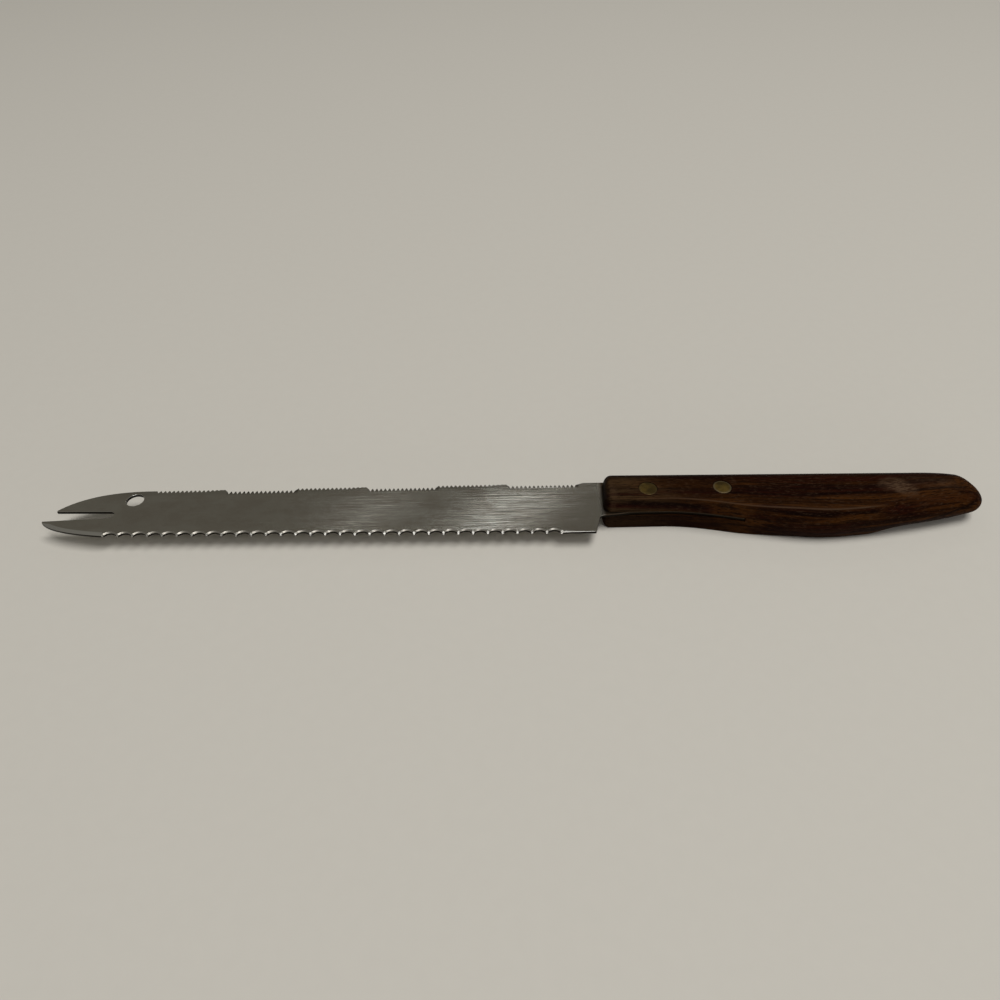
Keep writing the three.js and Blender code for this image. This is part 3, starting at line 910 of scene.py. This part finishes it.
def teeth_tree():
    """Cuts the gullets of the edge and the saw teeth of the spine out of the blade's blank"""
    graph, given = node_tree("cut_teeth", {
        "Thickness": "Float", "Gullet Start": "Vector", "Gullet Step": "Vector", "Gullets": "Int",
        "Gullet Radius": "Float", "Chamfer": "Float", "Chamfer Depth": "Float",
        "Saw Start": "Vector", "Groups": "Int", "Teeth": "Int", "Group Length": "Float",
        "Tooth Pitch": "Float", "Tooth Flat": "Float", "Recess": "Float", "Raised Depth": "Float",
        "Recessed Depth": "Float", "Fading Teeth": "Int", "Finish": "Material",
    })
    through = given["Thickness"] * CUTTER_REACH
    rows = row_of(graph, given["Gullets"], given["Gullet Start"], given["Gullet Step"])
    wall = cylinder(graph, GULLET_SIDES, given["Gullet Radius"], through)
    cone = graph.add("GeometryNodeMeshCone", {}, {
        "Vertices": GULLET_SIDES,
        "Radius Bottom": given["Gullet Radius"] - given["Chamfer"] * CONE_INSIDE,
        "Radius Top": given["Gullet Radius"] + given["Chamfer"] * (1.0 + CONE_ABOVE),
        "Depth": given["Chamfer Depth"] * (1.0 + CONE_ABOVE + CONE_INSIDE),
    })
    seat = given["Thickness"] * 0.5 - given["Chamfer Depth"] * (1.0 + CONE_INSIDE)
    gullets = copies(graph, rows, wall)
    chamfers = copies(graph, rows, moved(graph, cone, graph.vector(0.0, 0.0, seat)))

    index = graph.add("GeometryNodeInputIndex")
    group = (index / given["Teeth"]).floor()
    tooth = index - group * given["Teeth"]
    lowered = group - (group / 2.0).floor() * 2.0
    fade = ((given["Teeth"] - tooth) / (given["Fading Teeth"] + 1.0)).least(1.0)
    deep = lowered * given["Recessed Depth"] + (1.0 - lowered) * given["Raised Depth"] * fade
    start, crest, middle = graph.parts(given["Saw Start"])
    spots = graph.add("GeometryNodeMeshLine", {}, {"Count": given["Groups"] * given["Teeth"]})
    spots = graph.add("GeometryNodeSetPosition", {}, {"Geometry": spots, "Position": graph.vector(
        start + group * given["Group Length"] + (tooth + 0.5) * given["Tooth Pitch"],
        crest - lowered * given["Recess"],
        middle)})
    width = given["Tooth Pitch"] - given["Tooth Flat"]
    notch = cylinder(graph, NOTCH_SIDES, 1.0, 1.0)
    notches = copies(graph, spots, notch, graph.vector(width * 0.5, deep, through))
    return close_tree(graph, cut(graph, given["Geometry"], [gullets, chamfers, notches]), given["Finish"])


def seats_tree():
    """Cuts the tang's kerf and the rivets' stepped holes out of the handle's blank"""
    graph, given = node_tree("cut_kerf_and_seats", {
        "Kerf Size": "Vector", "Kerf Middle": "Vector", "First Hole": "Vector", "Hole Step": "Vector",
        "Holes": "Int", "Hole Radius": "Float", "Seat Radius": "Float", "Seat Height": "Float",
        "Reach": "Float", "Finish": "Material",
    })
    kerf = graph.add("GeometryNodeMeshCube", {}, {"Size": given["Kerf Size"]})
    rows = row_of(graph, given["Holes"], given["First Hole"], given["Hole Step"])
    bore = cylinder(graph, RIVET_SIDES, given["Hole Radius"], given["Reach"] * 2.0)
    seat = cylinder(graph, RIVET_SIDES, given["Seat Radius"], given["Reach"] - given["Seat Height"])
    seat_middle = (given["Reach"] + given["Seat Height"]) * 0.5
    cutters = [moved(graph, kerf, given["Kerf Middle"]), copies(graph, rows, bore)]
    for side in (1.0, -1.0):
        cutters.append(copies(graph, rows, moved(graph, seat, graph.vector(0.0, 0.0, seat_middle * side))))
    return close_tree(graph, cut(graph, given["Geometry"], cutters), given["Finish"])


def lathe_tree():
    """Turns a profile, points of radius and height, about an upright axis at a place"""
    graph, given = node_tree("turn_profile", {
        "Profile Points": "Int", "Sides": "Int", "Place": "Vector", "Finish": "Material"})
    sheet = graph.add("GeometryNodeMeshGrid", {}, {
        "Vertices X": given["Sides"] + 1.0, "Vertices Y": given["Profile Points"]})
    index = graph.add("GeometryNodeInputIndex")
    side = (index / given["Profile Points"]).floor()
    step = index - side * given["Profile Points"]
    spot = graph.add("GeometryNodeInputPosition")
    point = graph.add("GeometryNodeSampleIndex", {"data_type": "FLOAT_VECTOR"}, {
        "Geometry": given["Geometry"], "Value": spot, "Index": step})
    radius, _, height = graph.parts(point)
    angle = side / given["Sides"] * math.tau
    turned = graph.add("GeometryNodeSetPosition", {}, {"Geometry": sheet, "Position": graph.vector(
        radius * graph.math("COSINE", angle), radius * graph.math("SINE", angle), height)})
    closed = graph.add("GeometryNodeMergeByDistance", {}, {"Geometry": turned, "Distance": BLANK_WELD})
    return close_tree(graph, moved(graph, closed, given["Place"]), given["Finish"])


def run_tree(name, blank, tree, sizes):
    """Runs a tree over a blank and gives the plain object that comes of it"""
    source = bpy.data.objects.new(name + "_blank", blank)
    bpy.context.collection.objects.link(source)
    modifier = source.modifiers.new("shape", "NODES")
    modifier.node_group = tree
    for item in tree.interface.items_tree:
        if item.in_out == "INPUT" and item.name in sizes:
            modifier[item.identifier] = sizes[item.name]
    depsgraph = bpy.context.evaluated_depsgraph_get()
    plain = bpy.data.meshes.new_from_object(source.evaluated_get(depsgraph), depsgraph=depsgraph)
    bpy.data.objects.remove(source)
    plain.materials.clear()
    plain.materials.append(sizes["Finish"])
    plain.polygons.foreach_set("material_index", [0] * len(plain.polygons))
    piece = bpy.data.objects.new(name, plain)
    bpy.context.collection.objects.link(piece)
    if len(plain.polygons) == 0:
        raise RuntimeError(name + " came out empty")
    return piece


def weld(work, distance):
    """Merges points that are close together and turns the faces outward"""
    bmesh.ops.remove_doubles(work, verts=work.verts, dist=distance)
    bmesh.ops.recalc_face_normals(work, faces=work.faces)


def closed_blank(work, name):
    """Plain mesh of a blank's closed skin"""
    weld(work, BLANK_WELD)
    blank = bpy.data.meshes.new(name)
    work.to_mesh(blank)
    work.free()
    return blank


def smooth_skin(piece):
    """Closes a piece's mesh and smooths all but its sharp edges"""
    work = bmesh.new()
    work.from_mesh(piece.data)
    weld(work, PIECE_WELD)
    work.to_mesh(piece.data)
    work.free()
    piece.data.polygons.foreach_set("use_smooth", [True] * len(piece.data.polygons))
    piece.data.set_sharp_from_angle(angle=SHARP_ANGLE)
    piece.data.update()


def hand_over(piece, node):
    """Sets a finished piece in the place of its solid"""
    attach(piece, "root")
    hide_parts(node)


def spine_line(handle, x):
    return handle.spine_rise - handle.spine_fall * x / handle.length


def belly_line(handle, x):
    if x <= handle.palm_place:
        return -lerp(handle.grip_depth, handle.palm_depth, smooth(x, handle.grip_end, handle.palm_place))
    part = (x - handle.palm_place) / (handle.length - handle.palm_place)
    return -handle.palm_depth + handle.butt_rise * part ** handle.butt_power


def handle_upper(handle, x):
    rounding = quarter_ellipse((x - handle.length + handle.butt_upper) / handle.butt_upper)
    return lerp(spine_line(handle, x), -handle.nose_depth, rounding)


def handle_lower(handle, x):
    rounding = quarter_ellipse((x - handle.length + handle.butt_lower) / handle.butt_lower)
    return lerp(belly_line(handle, x), -handle.nose_depth, rounding)


def half_thickness(handle, x):
    part = held((x - handle.length + handle.taper) / handle.taper)
    return handle.thickness / 2 * (1 - part ** handle.taper_power) ** (1 / handle.taper_power)


def crown_height(handle, x, half_height):
    """How far the crease stands above the lowest line of the belly, and how round the butt is there"""
    butt = smooth(x, handle.crease_end, handle.crease_end + handle.crease_fade)
    palm = smooth(x, handle.crown_start, handle.crown_end)
    return lerp(lerp(handle.grip_crown, handle.palm_crown, palm), half_height, butt), butt


def handle_ring(handle, x, inset):
    """Points round the handle at one station, drawn in by an inset at the rounded front"""
    upper = handle_upper(handle, x) - inset
    lower = handle_lower(handle, x) + inset
    half = half_thickness(handle, x) - inset
    half_height = (upper - lower) / 2
    crown, butt = crown_height(handle, x, half_height)
    run = min(handle.spine_rounding, half_height)
    shoulder = upper - run
    crease = lower + crown
    fading = 1 + CREASE_SWELL * butt * (1 - butt)
    soft = min(handle.crease_rounding * fading, 2 * half * CREASE_MOST, (shoulder - crease) / 2)
    reach = 1 - soft / half

    def belly(across):
        arched = across * across
        return lower + crown * lerp(arched, 1 - math.sqrt(max(0.0, 1 - arched)), butt)

    flank_end = crease + soft
    right = [(lerp(shoulder, flank_end, step / FLANK_STEPS), half) for step in range(1, FLANK_STEPS + 1)]
    right += bend(right[-1], (crease, half), (belly(reach), half * reach), CREASE_STEPS)
    section = []
    for step in range(SPINE_STEPS + 1):
        angle = math.pi * (step / SPINE_STEPS - 0.5)
        section.append((shoulder + run * math.cos(angle), half * math.sin(angle)))
    section += right
    for step in range(1, BELLY_STEPS):
        across = reach * math.cos(math.pi * step / BELLY_STEPS)
        section.append((belly(across), half * across))
    section += [(y, -z) for y, z in reversed(right)]
    lean = handle.front_lean * (1 - smooth(x, 0.0, handle.front_lean_run)) / (upper - lower)
    return [DATUM + Vector((x + lean * (y - lower), y, z)) for y, z in section]


def handle_blank(handle):
    """Closed skin of the handle, before it is slit and bored"""
    rings = []
    for step in range(FRONT_STEPS):
        angle = math.pi / 2 * step / FRONT_STEPS
        back = handle.front_rounding * (1 - math.cos(angle))
        inset = handle.front_rounding * (1 - math.sin(angle))
        rings.append(handle_ring(handle, back, inset))
    body_end = handle.length - handle.butt_upper
    for step in range(BODY_STEPS + 1):
        rings.append(handle_ring(handle, lerp(handle.front_rounding, body_end, step / BODY_STEPS), 0.0))
    for step in range(1, BUTT_STEPS):
        part = math.sin(math.pi / 2 * step / BUTT_STEPS)
        rings.append(handle_ring(handle, body_end + handle.butt_upper * part, 0.0))
    work = bmesh.new()
    rows = [[work.verts.new(point) for point in ring] for ring in rings]
    nose = work.verts.new(DATUM + Vector((handle.length, -handle.nose_depth, 0.0)))
    around = len(rows[0])
    for side in range(around):
        after = (side + 1) % around
        for low, high in zip(rows, rows[1:]):
            work.faces.new((low[side], low[after], high[after], high[side]))
        work.faces.new((rows[-1][side], rows[-1][after], nose))
    work.faces.new(rows[0])
    return closed_blank(work, "handle_blank")


def mark_wear(piece, handle):
    """Stores how worn the wood is along the crease"""
    closing = [handle.crease_end + part for part in WEAR_CLOSING]
    values = []
    for vertex in piece.data.vertices:
        x, y, z = vertex.co - DATUM
        inside = held(x / handle.length) * handle.length
        lower = handle_lower(handle, inside)
        crown, _ = crown_height(handle, inside, (handle_upper(handle, inside) - lower) / 2)
        away = math.hypot(y - lower - crown, abs(z) - half_thickness(handle, inside))
        along = smooth(inside, *WEAR_OPENING) * (1 - smooth(inside, *closing))
        values.append(held(1 - away / WEAR_BAND) * along)
    layer = piece.data.attributes.new("wear", "FLOAT", "POINT")
    layer.data.foreach_set("value", values)


def rivet_places(rivet, blade):
    """Where the two rivets stand, from the handle's front"""
    return [rivet.from_front, blade.tang_length - rivet.from_tang_end]


def tang_line(blade, handle, x):
    """Height of the tang's lower edge: just inside the belly, with a shoulder below it at the front"""
    shoulder = blade.tang_shoulder * (1 - smooth(x, 0.0, blade.tang_shoulder_run))
    return belly_line(handle, x) + blade.tang_inset - shoulder


def edge_line(blade, x):
    """Height of the cutting edge, falling evenly from the fork to the heel"""
    start = -blade.length + blade.lower_run
    return -lerp(blade.fore_depth, blade.heel_depth, (x - start) / (-blade.heel_gap - start))


def spine_points(blade, saw, handle):
    """Outline from the tang's end along the spine, stepped for the groups of teeth"""
    saw_start = -blade.length + saw.from_tip
    points = [
        (blade.tang_length, min(0.0, spine_line(handle, blade.tang_length) - blade.tang_inset)),
        (0.0, 0.0),
        (saw_start + saw.groups * saw.group_length + saw.runout, 0.0),
    ]
    for group in reversed(range(saw.groups)):
        start = saw_start + group * saw.group_length
        crest = -saw.recess if group % 2 else 0.0
        points += [(start + saw.teeth * saw.pitch, crest), (start, crest)]
    return points


def fork_points(blade):
    """Outline of the upper tine, the slot and the lower tine's blunt tip"""
    tip = -blade.length
    upper_tip = tip + blade.upper_setback
    spine_end = (upper_tip + blade.upper_run, 0.0)
    upper_end = (upper_tip, -blade.upper_depth + blade.tip_width)
    points = [spine_end]
    points += bend(spine_end, (upper_tip + blade.upper_fullness, 0.0), upper_end, CURVE_STEPS)
    points.append((upper_tip, -blade.upper_depth))
    root = blade.slot_width / 2
    root_x = tip + blade.slot_length - root
    for step in range(CURVE_STEPS + 1):
        angle = math.pi / 2 - math.pi * step / CURVE_STEPS
        points.append((root_x + root * math.cos(angle), -blade.slot_depth + root * math.sin(angle)))
    points += [(tip, -blade.lower_depth), (tip, -blade.lower_depth - blade.tip_width)]
    return points


def tine_corners(blade, start):
    """Corners along the lower tine's curve, on which a bevel opens from the tip"""
    tip = -blade.length
    pull = (tip + blade.lower_fullness, blade.lower_sag - blade.fore_depth)
    curve = bend(start, pull, (tip + blade.lower_run, -blade.fore_depth), CURVE_STEPS)
    corners = []
    for step, point in enumerate(curve[:-1], 1):
        opening = smooth(step / CURVE_STEPS, 0.0, BEVEL_OPENING)
        width = lerp(blade.rim, blade.lower_bevel, opening)
        corners.append((*point, width, lerp(blade.rim, blade.lower_bevel_depth, opening)))
    last = [lerp(a, b, BEVEL_END) for a, b in zip(curve[-2], curve[-1])]
    corners.append((*last, blade.lower_bevel, blade.lower_bevel_depth))
    return corners


def edge_corners(blade, edge):
    """Corners along the cutting edge, whose bevel narrows after the gullets"""
    heel = -blade.heel_gap
    plain_start = heel - edge.plain
    full = blade.thickness - blade.rim
    corners = []
    for x, width in (
        (-blade.length + blade.lower_run, edge.bevel),
        (plain_start, edge.bevel),
        (plain_start + edge.plain_bevel, edge.plain_bevel),
        (heel - edge.plain * NARROW_SHARE, edge.heel_bevel),
        (heel, edge.heel_bevel),
    ):
        corners.append((x, edge_line(blade, x), width, full * width / edge.bevel))
    return corners


def heel_points(blade, handle):
    """Outline up the heel, round its fillet and along the tang's lower edge"""
    tang_front = -blade.heel_gap + blade.heel_slant
    tang_low = tang_line(blade, handle, 0.0)
    below = (tang_front, tang_low - blade.heel_fillet)
    beside = (tang_front + blade.heel_fillet, tang_low)
    points = [below, *bend(below, (tang_front, tang_low), beside, FILLET_STEPS)]
    for step in range(1, CURVE_STEPS + 1):
        x = lerp(beside[0], blade.tang_length, step / CURVE_STEPS)
        points.append((x, tang_line(blade, handle, x)))
    return points


def blade_outline(blade, edge, saw, handle):
    """Corners of the blade's blank, each with the width and depth of the bevel on its upper face"""

    def broken(points):
        return [(x, y, blade.rim, blade.rim) for x, y in points]

    fork = fork_points(blade)
    return [
        *broken(spine_points(blade, saw, handle)),
        *broken(fork),
        *tine_corners(blade, fork[-1]),
        *edge_corners(blade, edge),
        *broken(heel_points(blade, handle)),
    ]


def drawn_in(corners):
    """Each corner moved square to its two sides by its bevel's width"""
    inner = []
    for index, (x, y, width, _) in enumerate(corners):
        before = Vector(corners[index - 1][:2])
        after = Vector(corners[(index + 1) % len(corners)][:2])
        here = Vector((x, y))
        one = (here - before).normalized()
        two = (after - here).normalized()
        sides = Vector((-one.y - two.y, one.x + two.x))
        inner.append(here + sides * (width / max(LEAST_SPREAD, 1 + one.dot(two))))
    return inner


def round_corners(x, y, radius, width, depth):
    """Corners of a round hole with a chamfer, run the other way round from the outline"""
    corners = []
    for side in range(HOLE_SIDES):
        angle = -math.tau * side / HOLE_SIDES
        corners.append((x + radius * math.cos(angle), y + radius * math.sin(angle), width, depth))
    return corners


def sheet_rings(work, blade, loop, outer):
    """Rings of points round a loop of the sheet, from its lower face to its upper one

    The outline's bevels are on the upper face alone, and its lower rim is only broken.
    """
    top = blade.thickness / 2
    lower = [(x, y, blade.rim, blade.rim) for x, y, _, _ in loop] if outer else loop
    sides = [Vector(corner[:2]) for corner in loop]
    rings = []
    for points, heights in (
        (drawn_in(lower), [-top] * len(loop)),
        (sides, [-top + min(depth, top) for _, _, _, depth in lower]),
        (sides, [top - depth for _, _, _, depth in loop]),
        (drawn_in(loop), [top] * len(loop)),
    ):
        rings.append([work.verts.new(DATUM + Vector((p.x, p.y, z))) for p, z in zip(points, heights)])
    return rings


def blade_blank(blade, edge, saw, handle, rivet):
    """Bevelled sheet with the fork, the hanging hole and the rivet holes, before its teeth are cut"""
    loops = [blade_outline(blade, edge, saw, handle), round_corners(
        -blade.length + blade.hole_from_tip, -blade.hole_depth, blade.hole_diameter / 2,
        blade.hole_chamfer, blade.hole_chamfer_depth)]
    rivet_hole = rivet.barrel / 2 + rivet.clearance
    for x in rivet_places(rivet, blade):
        loops.append(round_corners(x, -rivet.depth, rivet_hole, blade.rim, blade.rim))
    work = bmesh.new()
    caps = ([], [])
    for loop in loops:
        rings = sheet_rings(work, blade, loop, loop is loops[0])
        around = [(side, (side + 1) % len(loop)) for side in range(len(loop))]
        for low, high in zip(rings, rings[1:]):
            for side, after in around:
                work.faces.new((low[side], low[after], high[after]))
                work.faces.new((low[side], high[after], high[side]))
        for cap, ring in zip(caps, (rings[0], rings[-1])):
            cap.extend(work.edges.get((ring[side], ring[after])) for side, after in around)
    for cap, facing in zip(caps, (-1.0, 1.0)):
        bmesh.ops.triangle_fill(work, use_beauty=True, edges=cap, normal=(0.0, 0.0, facing))
    return closed_blank(work, "blade_blank")


def mark_faces(piece):
    """Stores which faces are ground bevels, chamfers and broken rims, or walls left by the stamp"""
    tilts = [face.normal.z for face in piece.data.polygons]
    marks = {
        "ground": [WALL_TILT < tilt <= STEEP_TILT or SHALLOW_TILT < tilt <= FLAT_TILT for tilt in tilts],
        "hollow": [STEEP_TILT < tilt <= SHALLOW_TILT for tilt in tilts],
        "sheared": [-FLAT_TILT < tilt <= WALL_TILT for tilt in tilts],
    }
    for name, values in marks.items():
        layer = piece.data.attributes.new(name, "FLOAT", "FACE")
        layer.data.foreach_set("value", [float(value) for value in values])


def head_profile(rivet, handle, sign):
    """Domed head from its middle out to its rounded rim and shoulder; sign is 1 for the upper head"""
    face = sign * (handle.thickness / 2 - rivet.head_sink)
    radius = rivet.head_diameter / 2
    rounding = rivet.rim_rounding
    points = []
    for step in range(HEAD_STEPS):
        r = (radius - rounding) * step / HEAD_STEPS
        points.append((r, face - sign * rivet.head_dome * (r / radius) ** 2))
    for step in range(RIM_STEPS + 1):
        angle = math.pi / 2 * step / RIM_STEPS
        drop = rivet.head_dome + rounding * (1 - math.cos(angle))
        points.append((radius - rounding * (1 - math.sin(angle)), face - sign * drop))
    points.append((radius, face - sign * rivet.head_thickness))
    return points


def male_profile(rivet, handle):
    """Lower head with its solid post"""
    end = handle.thickness / 2 - rivet.head_sink - rivet.head_thickness - rivet.clearance
    points = head_profile(rivet, handle, -1.0)
    points += [(rivet.post / 2, points[-1][1]), (rivet.post / 2, end), (0.0, end)]
    return points


def female_profile(rivet, handle):
    """Upper head with its hollow barrel"""
    points = head_profile(rivet, handle, 1.0)
    shoulder = points[-1][1]
    end = -shoulder + rivet.clearance
    bore = rivet.post / 2 + rivet.clearance
    points += [(rivet.barrel / 2, shoulder), (rivet.barrel / 2, end)]
    points += [(bore, end), (bore, shoulder), (0.0, shoulder)]
    return points


def profile_mesh(points):
    mesh = bpy.data.meshes.new("rivet_profile")
    mesh.from_pydata([(r, 0.0, z) for r, z in points], [(i, i + 1) for i in range(len(points) - 1)], [])
    return mesh


def make_floor(context, stage):
    """Floor that the knife lies on"""
    work = bmesh.new()
    bmesh.ops.create_grid(work, x_segments=FLOOR_STEPS, y_segments=FLOOR_STEPS, size=stage.floor_size / 2)
    mesh = bpy.data.meshes.new("floor")
    work.to_mesh(mesh)
    work.free()
    mesh.materials.append(pale_floor(stage))
    floor = bpy.data.objects.new("floor", mesh)
    context.collection.objects.link(floor)


def make_light(context, stage, name, place, size, power, tint):
    """Soft panel that faces the knife"""
    data = bpy.data.lights.new(name, "AREA")
    data.shape = "RECTANGLE"
    data.size = size[0]
    data.size_y = size[1]
    data.energy = power
    data.color = tint
    panel = bpy.data.objects.new(name, data)
    panel.location = place
    toward = Vector(stage.aim) - Vector(place)
    panel.rotation_euler = toward.to_track_quat("-Z", "Y").to_euler()
    context.collection.objects.link(panel)


def make_room(scene, stage):
    """Faint light from all round"""
    world = bpy.data.worlds.new("room")
    world.use_nodes = True
    graph = Graph(world.node_tree)
    glow = graph.add("ShaderNodeBackground", {}, {"Color": solid(stage.room), "Strength": 1.0})
    graph.add("ShaderNodeOutputWorld", {}, {"Surface": glow})
    scene.world = world
    scene.view_settings.view_transform = "Standard"


def make_camera(context, stage):
    """Camera that looks down on the knife from the edge's side"""
    data = bpy.data.cameras.new("camera")
    data.lens = stage.lens
    data.sensor_width = SENSOR_WIDTH
    data.clip_start = NEAREST_SEEN
    camera = bpy.data.objects.new("camera", data)
    back = Vector((
        -math.sin(stage.azimuth) * math.cos(stage.elevation),
        -math.cos(stage.azimuth) * math.cos(stage.elevation),
        math.sin(stage.elevation),
    ))
    camera.location = Vector(stage.aim) + back * stage.distance
    camera.rotation_euler = Euler((math.pi / 2 - stage.elevation, 0.0, -stage.azimuth))
    context.collection.objects.link(camera)
    context.scene.camera = camera


class MakeBlade(Operator):
    """Cut the forked, scalloped and saw-backed blade"""

    bl_idname = "serrated_knife.blade"
    bl_label = "Blade"

    def execute(self, context):
        scene = context.scene
        blade, edge, saw = scene.knife_blade, scene.knife_edge, scene.knife_saw
        handle, rivet = scene.knife_handle, scene.knife_rivet
        edge_start = -blade.length + blade.lower_run
        run = -blade.heel_gap - edge.plain - edge_start
        first = edge_start + edge.pitch / 2
        slope = edge_line(blade, first + edge.pitch) - edge_line(blade, first)
        piece = run_tree("serrated_blade", blade_blank(blade, edge, saw, handle, rivet), teeth_tree(), {
            "Thickness": blade.thickness,
            "Gullet Start": DATUM + Vector((first, edge_line(blade, first) + edge.depth - edge.radius, 0.0)),
            "Gullet Step": Vector((edge.pitch, slope, 0.0)),
            "Gullets": int(run / edge.pitch),
            "Gullet Radius": edge.radius,
            "Chamfer": edge.chamfer,
            "Chamfer Depth": edge.chamfer_depth,
            "Saw Start": DATUM + Vector((-blade.length + saw.from_tip, 0.0, 0.0)),
            "Groups": saw.groups,
            "Teeth": saw.teeth,
            "Group Length": saw.group_length,
            "Tooth Pitch": saw.pitch,
            "Tooth Flat": saw.flat,
            "Recess": saw.recess,
            "Raised Depth": saw.raised_depth,
            "Recessed Depth": saw.recessed_depth,
            "Fading Teeth": saw.fading,
            "Finish": brushed_steel(blade, saw),
        })
        smooth_skin(piece)
        mark_faces(piece)
        hand_over(piece, "blade")
        return {"FINISHED"}


class MakeHandle(Operator):
    """Shape the wooden handle, slit it for the tang and bore it for the rivets"""

    bl_idname = "serrated_knife.handle"
    bl_label = "Handle"

    def execute(self, context):
        scene = context.scene
        blade, handle, rivet = scene.knife_blade, scene.knife_handle, scene.knife_rivet
        places = rivet_places(rivet, blade)
        beyond = handle.front_rounding
        kerf_end = blade.tang_length + handle.kerf_clearance
        half = handle.thickness / 2
        piece = run_tree("wooden_handle", handle_blank(handle), seats_tree(), {
            "Kerf Size": Vector((
                kerf_end + beyond, handle.length, blade.thickness + 2 * handle.kerf_clearance)),
            "Kerf Middle": DATUM + Vector(((kerf_end - beyond) / 2, 0.0, 0.0)),
            "First Hole": DATUM + Vector((places[0], -rivet.depth, 0.0)),
            "Hole Step": Vector((places[1] - places[0], 0.0, 0.0)),
            "Holes": len(places),
            "Hole Radius": rivet.barrel / 2 + rivet.clearance,
            "Seat Radius": rivet.head_diameter / 2 + rivet.clearance,
            "Seat Height": half - rivet.head_sink - rivet.head_thickness - rivet.clearance,
            "Reach": half + beyond,
            "Finish": dark_hardwood(handle),
        })
        smooth_skin(piece)
        mark_wear(piece, handle)
        hand_over(piece, "handle")
        return {"FINISHED"}


class MakeRivets(Operator):
    """Turn the two halves of each brass rivet"""

    bl_idname = "serrated_knife.rivets"
    bl_label = "Rivets"

    def execute(self, context):
        scene = context.scene
        blade, handle, rivet = scene.knife_blade, scene.knife_handle, scene.knife_rivet
        finish = dull_brass(rivet, rivet_places(rivet, blade))
        tree = lathe_tree()
        for place, x in zip(("front", "rear"), rivet_places(rivet, blade)):
            for half, profile in (("male", male_profile), ("female", female_profile)):
                points = profile(rivet, handle)
                node = f"{place}_rivet_{half}"
                piece = run_tree(node + "_turned", profile_mesh(points), tree, {
                    "Profile Points": len(points),
                    "Sides": RIVET_SIDES,
                    "Place": DATUM + Vector((x, -rivet.depth, 0.0)),
                    "Finish": finish,
                })
                smooth_skin(piece)
                hand_over(piece, node)
        return {"FINISHED"}


class MakeStage(Operator):
    """Set the floor, the lights, the room and the camera"""

    bl_idname = "serrated_knife.stage"
    bl_label = "Stage"

    def execute(self, context):
        stage = context.scene.knife_stage
        make_floor(context, stage)
        for name, place, size, power, tint in LIGHTS:
            make_light(context, stage, name, place, size, power, tint)
        make_room(context.scene, stage)
        make_camera(context, stage)
        return {"FINISHED"}


class KnifePanel(Panel):
    """Lists the knife's pieces in the sidebar"""

    bl_idname = "VIEW3D_PT_serrated_knife"
    bl_label = "Serrated Knife"
    bl_space_type = "VIEW_3D"
    bl_region_type = "UI"
    bl_category = "Knife"

    def draw(self, context):
        for operator in OPERATORS:
            self.layout.operator(operator.bl_idname)


SIZES = {
    "knife_blade": BladeSizes,
    "knife_edge": EdgeSizes,
    "knife_saw": SawSizes,
    "knife_handle": HandleSizes,
    "knife_rivet": RivetSizes,
    "knife_stage": StageSizes,
}
OPERATORS = (MakeStage, MakeBlade, MakeHandle, MakeRivets)


def register():
    for group in SIZES.values():
        bpy.utils.register_class(group)
    for operator in OPERATORS:
        bpy.utils.register_class(operator)
    bpy.utils.register_class(KnifePanel)
    for name, group in SIZES.items():
        setattr(bpy.types.Scene, name, PointerProperty(type=group))


def unregister():
    for name in SIZES:
        delattr(bpy.types.Scene, name)
    bpy.utils.unregister_class(KnifePanel)
    for operator in reversed(OPERATORS):
        bpy.utils.unregister_class(operator)
    for group in reversed(list(SIZES.values())):
        bpy.utils.unregister_class(group)


def main():
    register()
    bpy.ops.serrated_knife.stage()
    bpy.ops.serrated_knife.blade()
    bpy.ops.serrated_knife.handle()
    bpy.ops.serrated_knife.rivets()


if __name__ == "__main__":
    main()
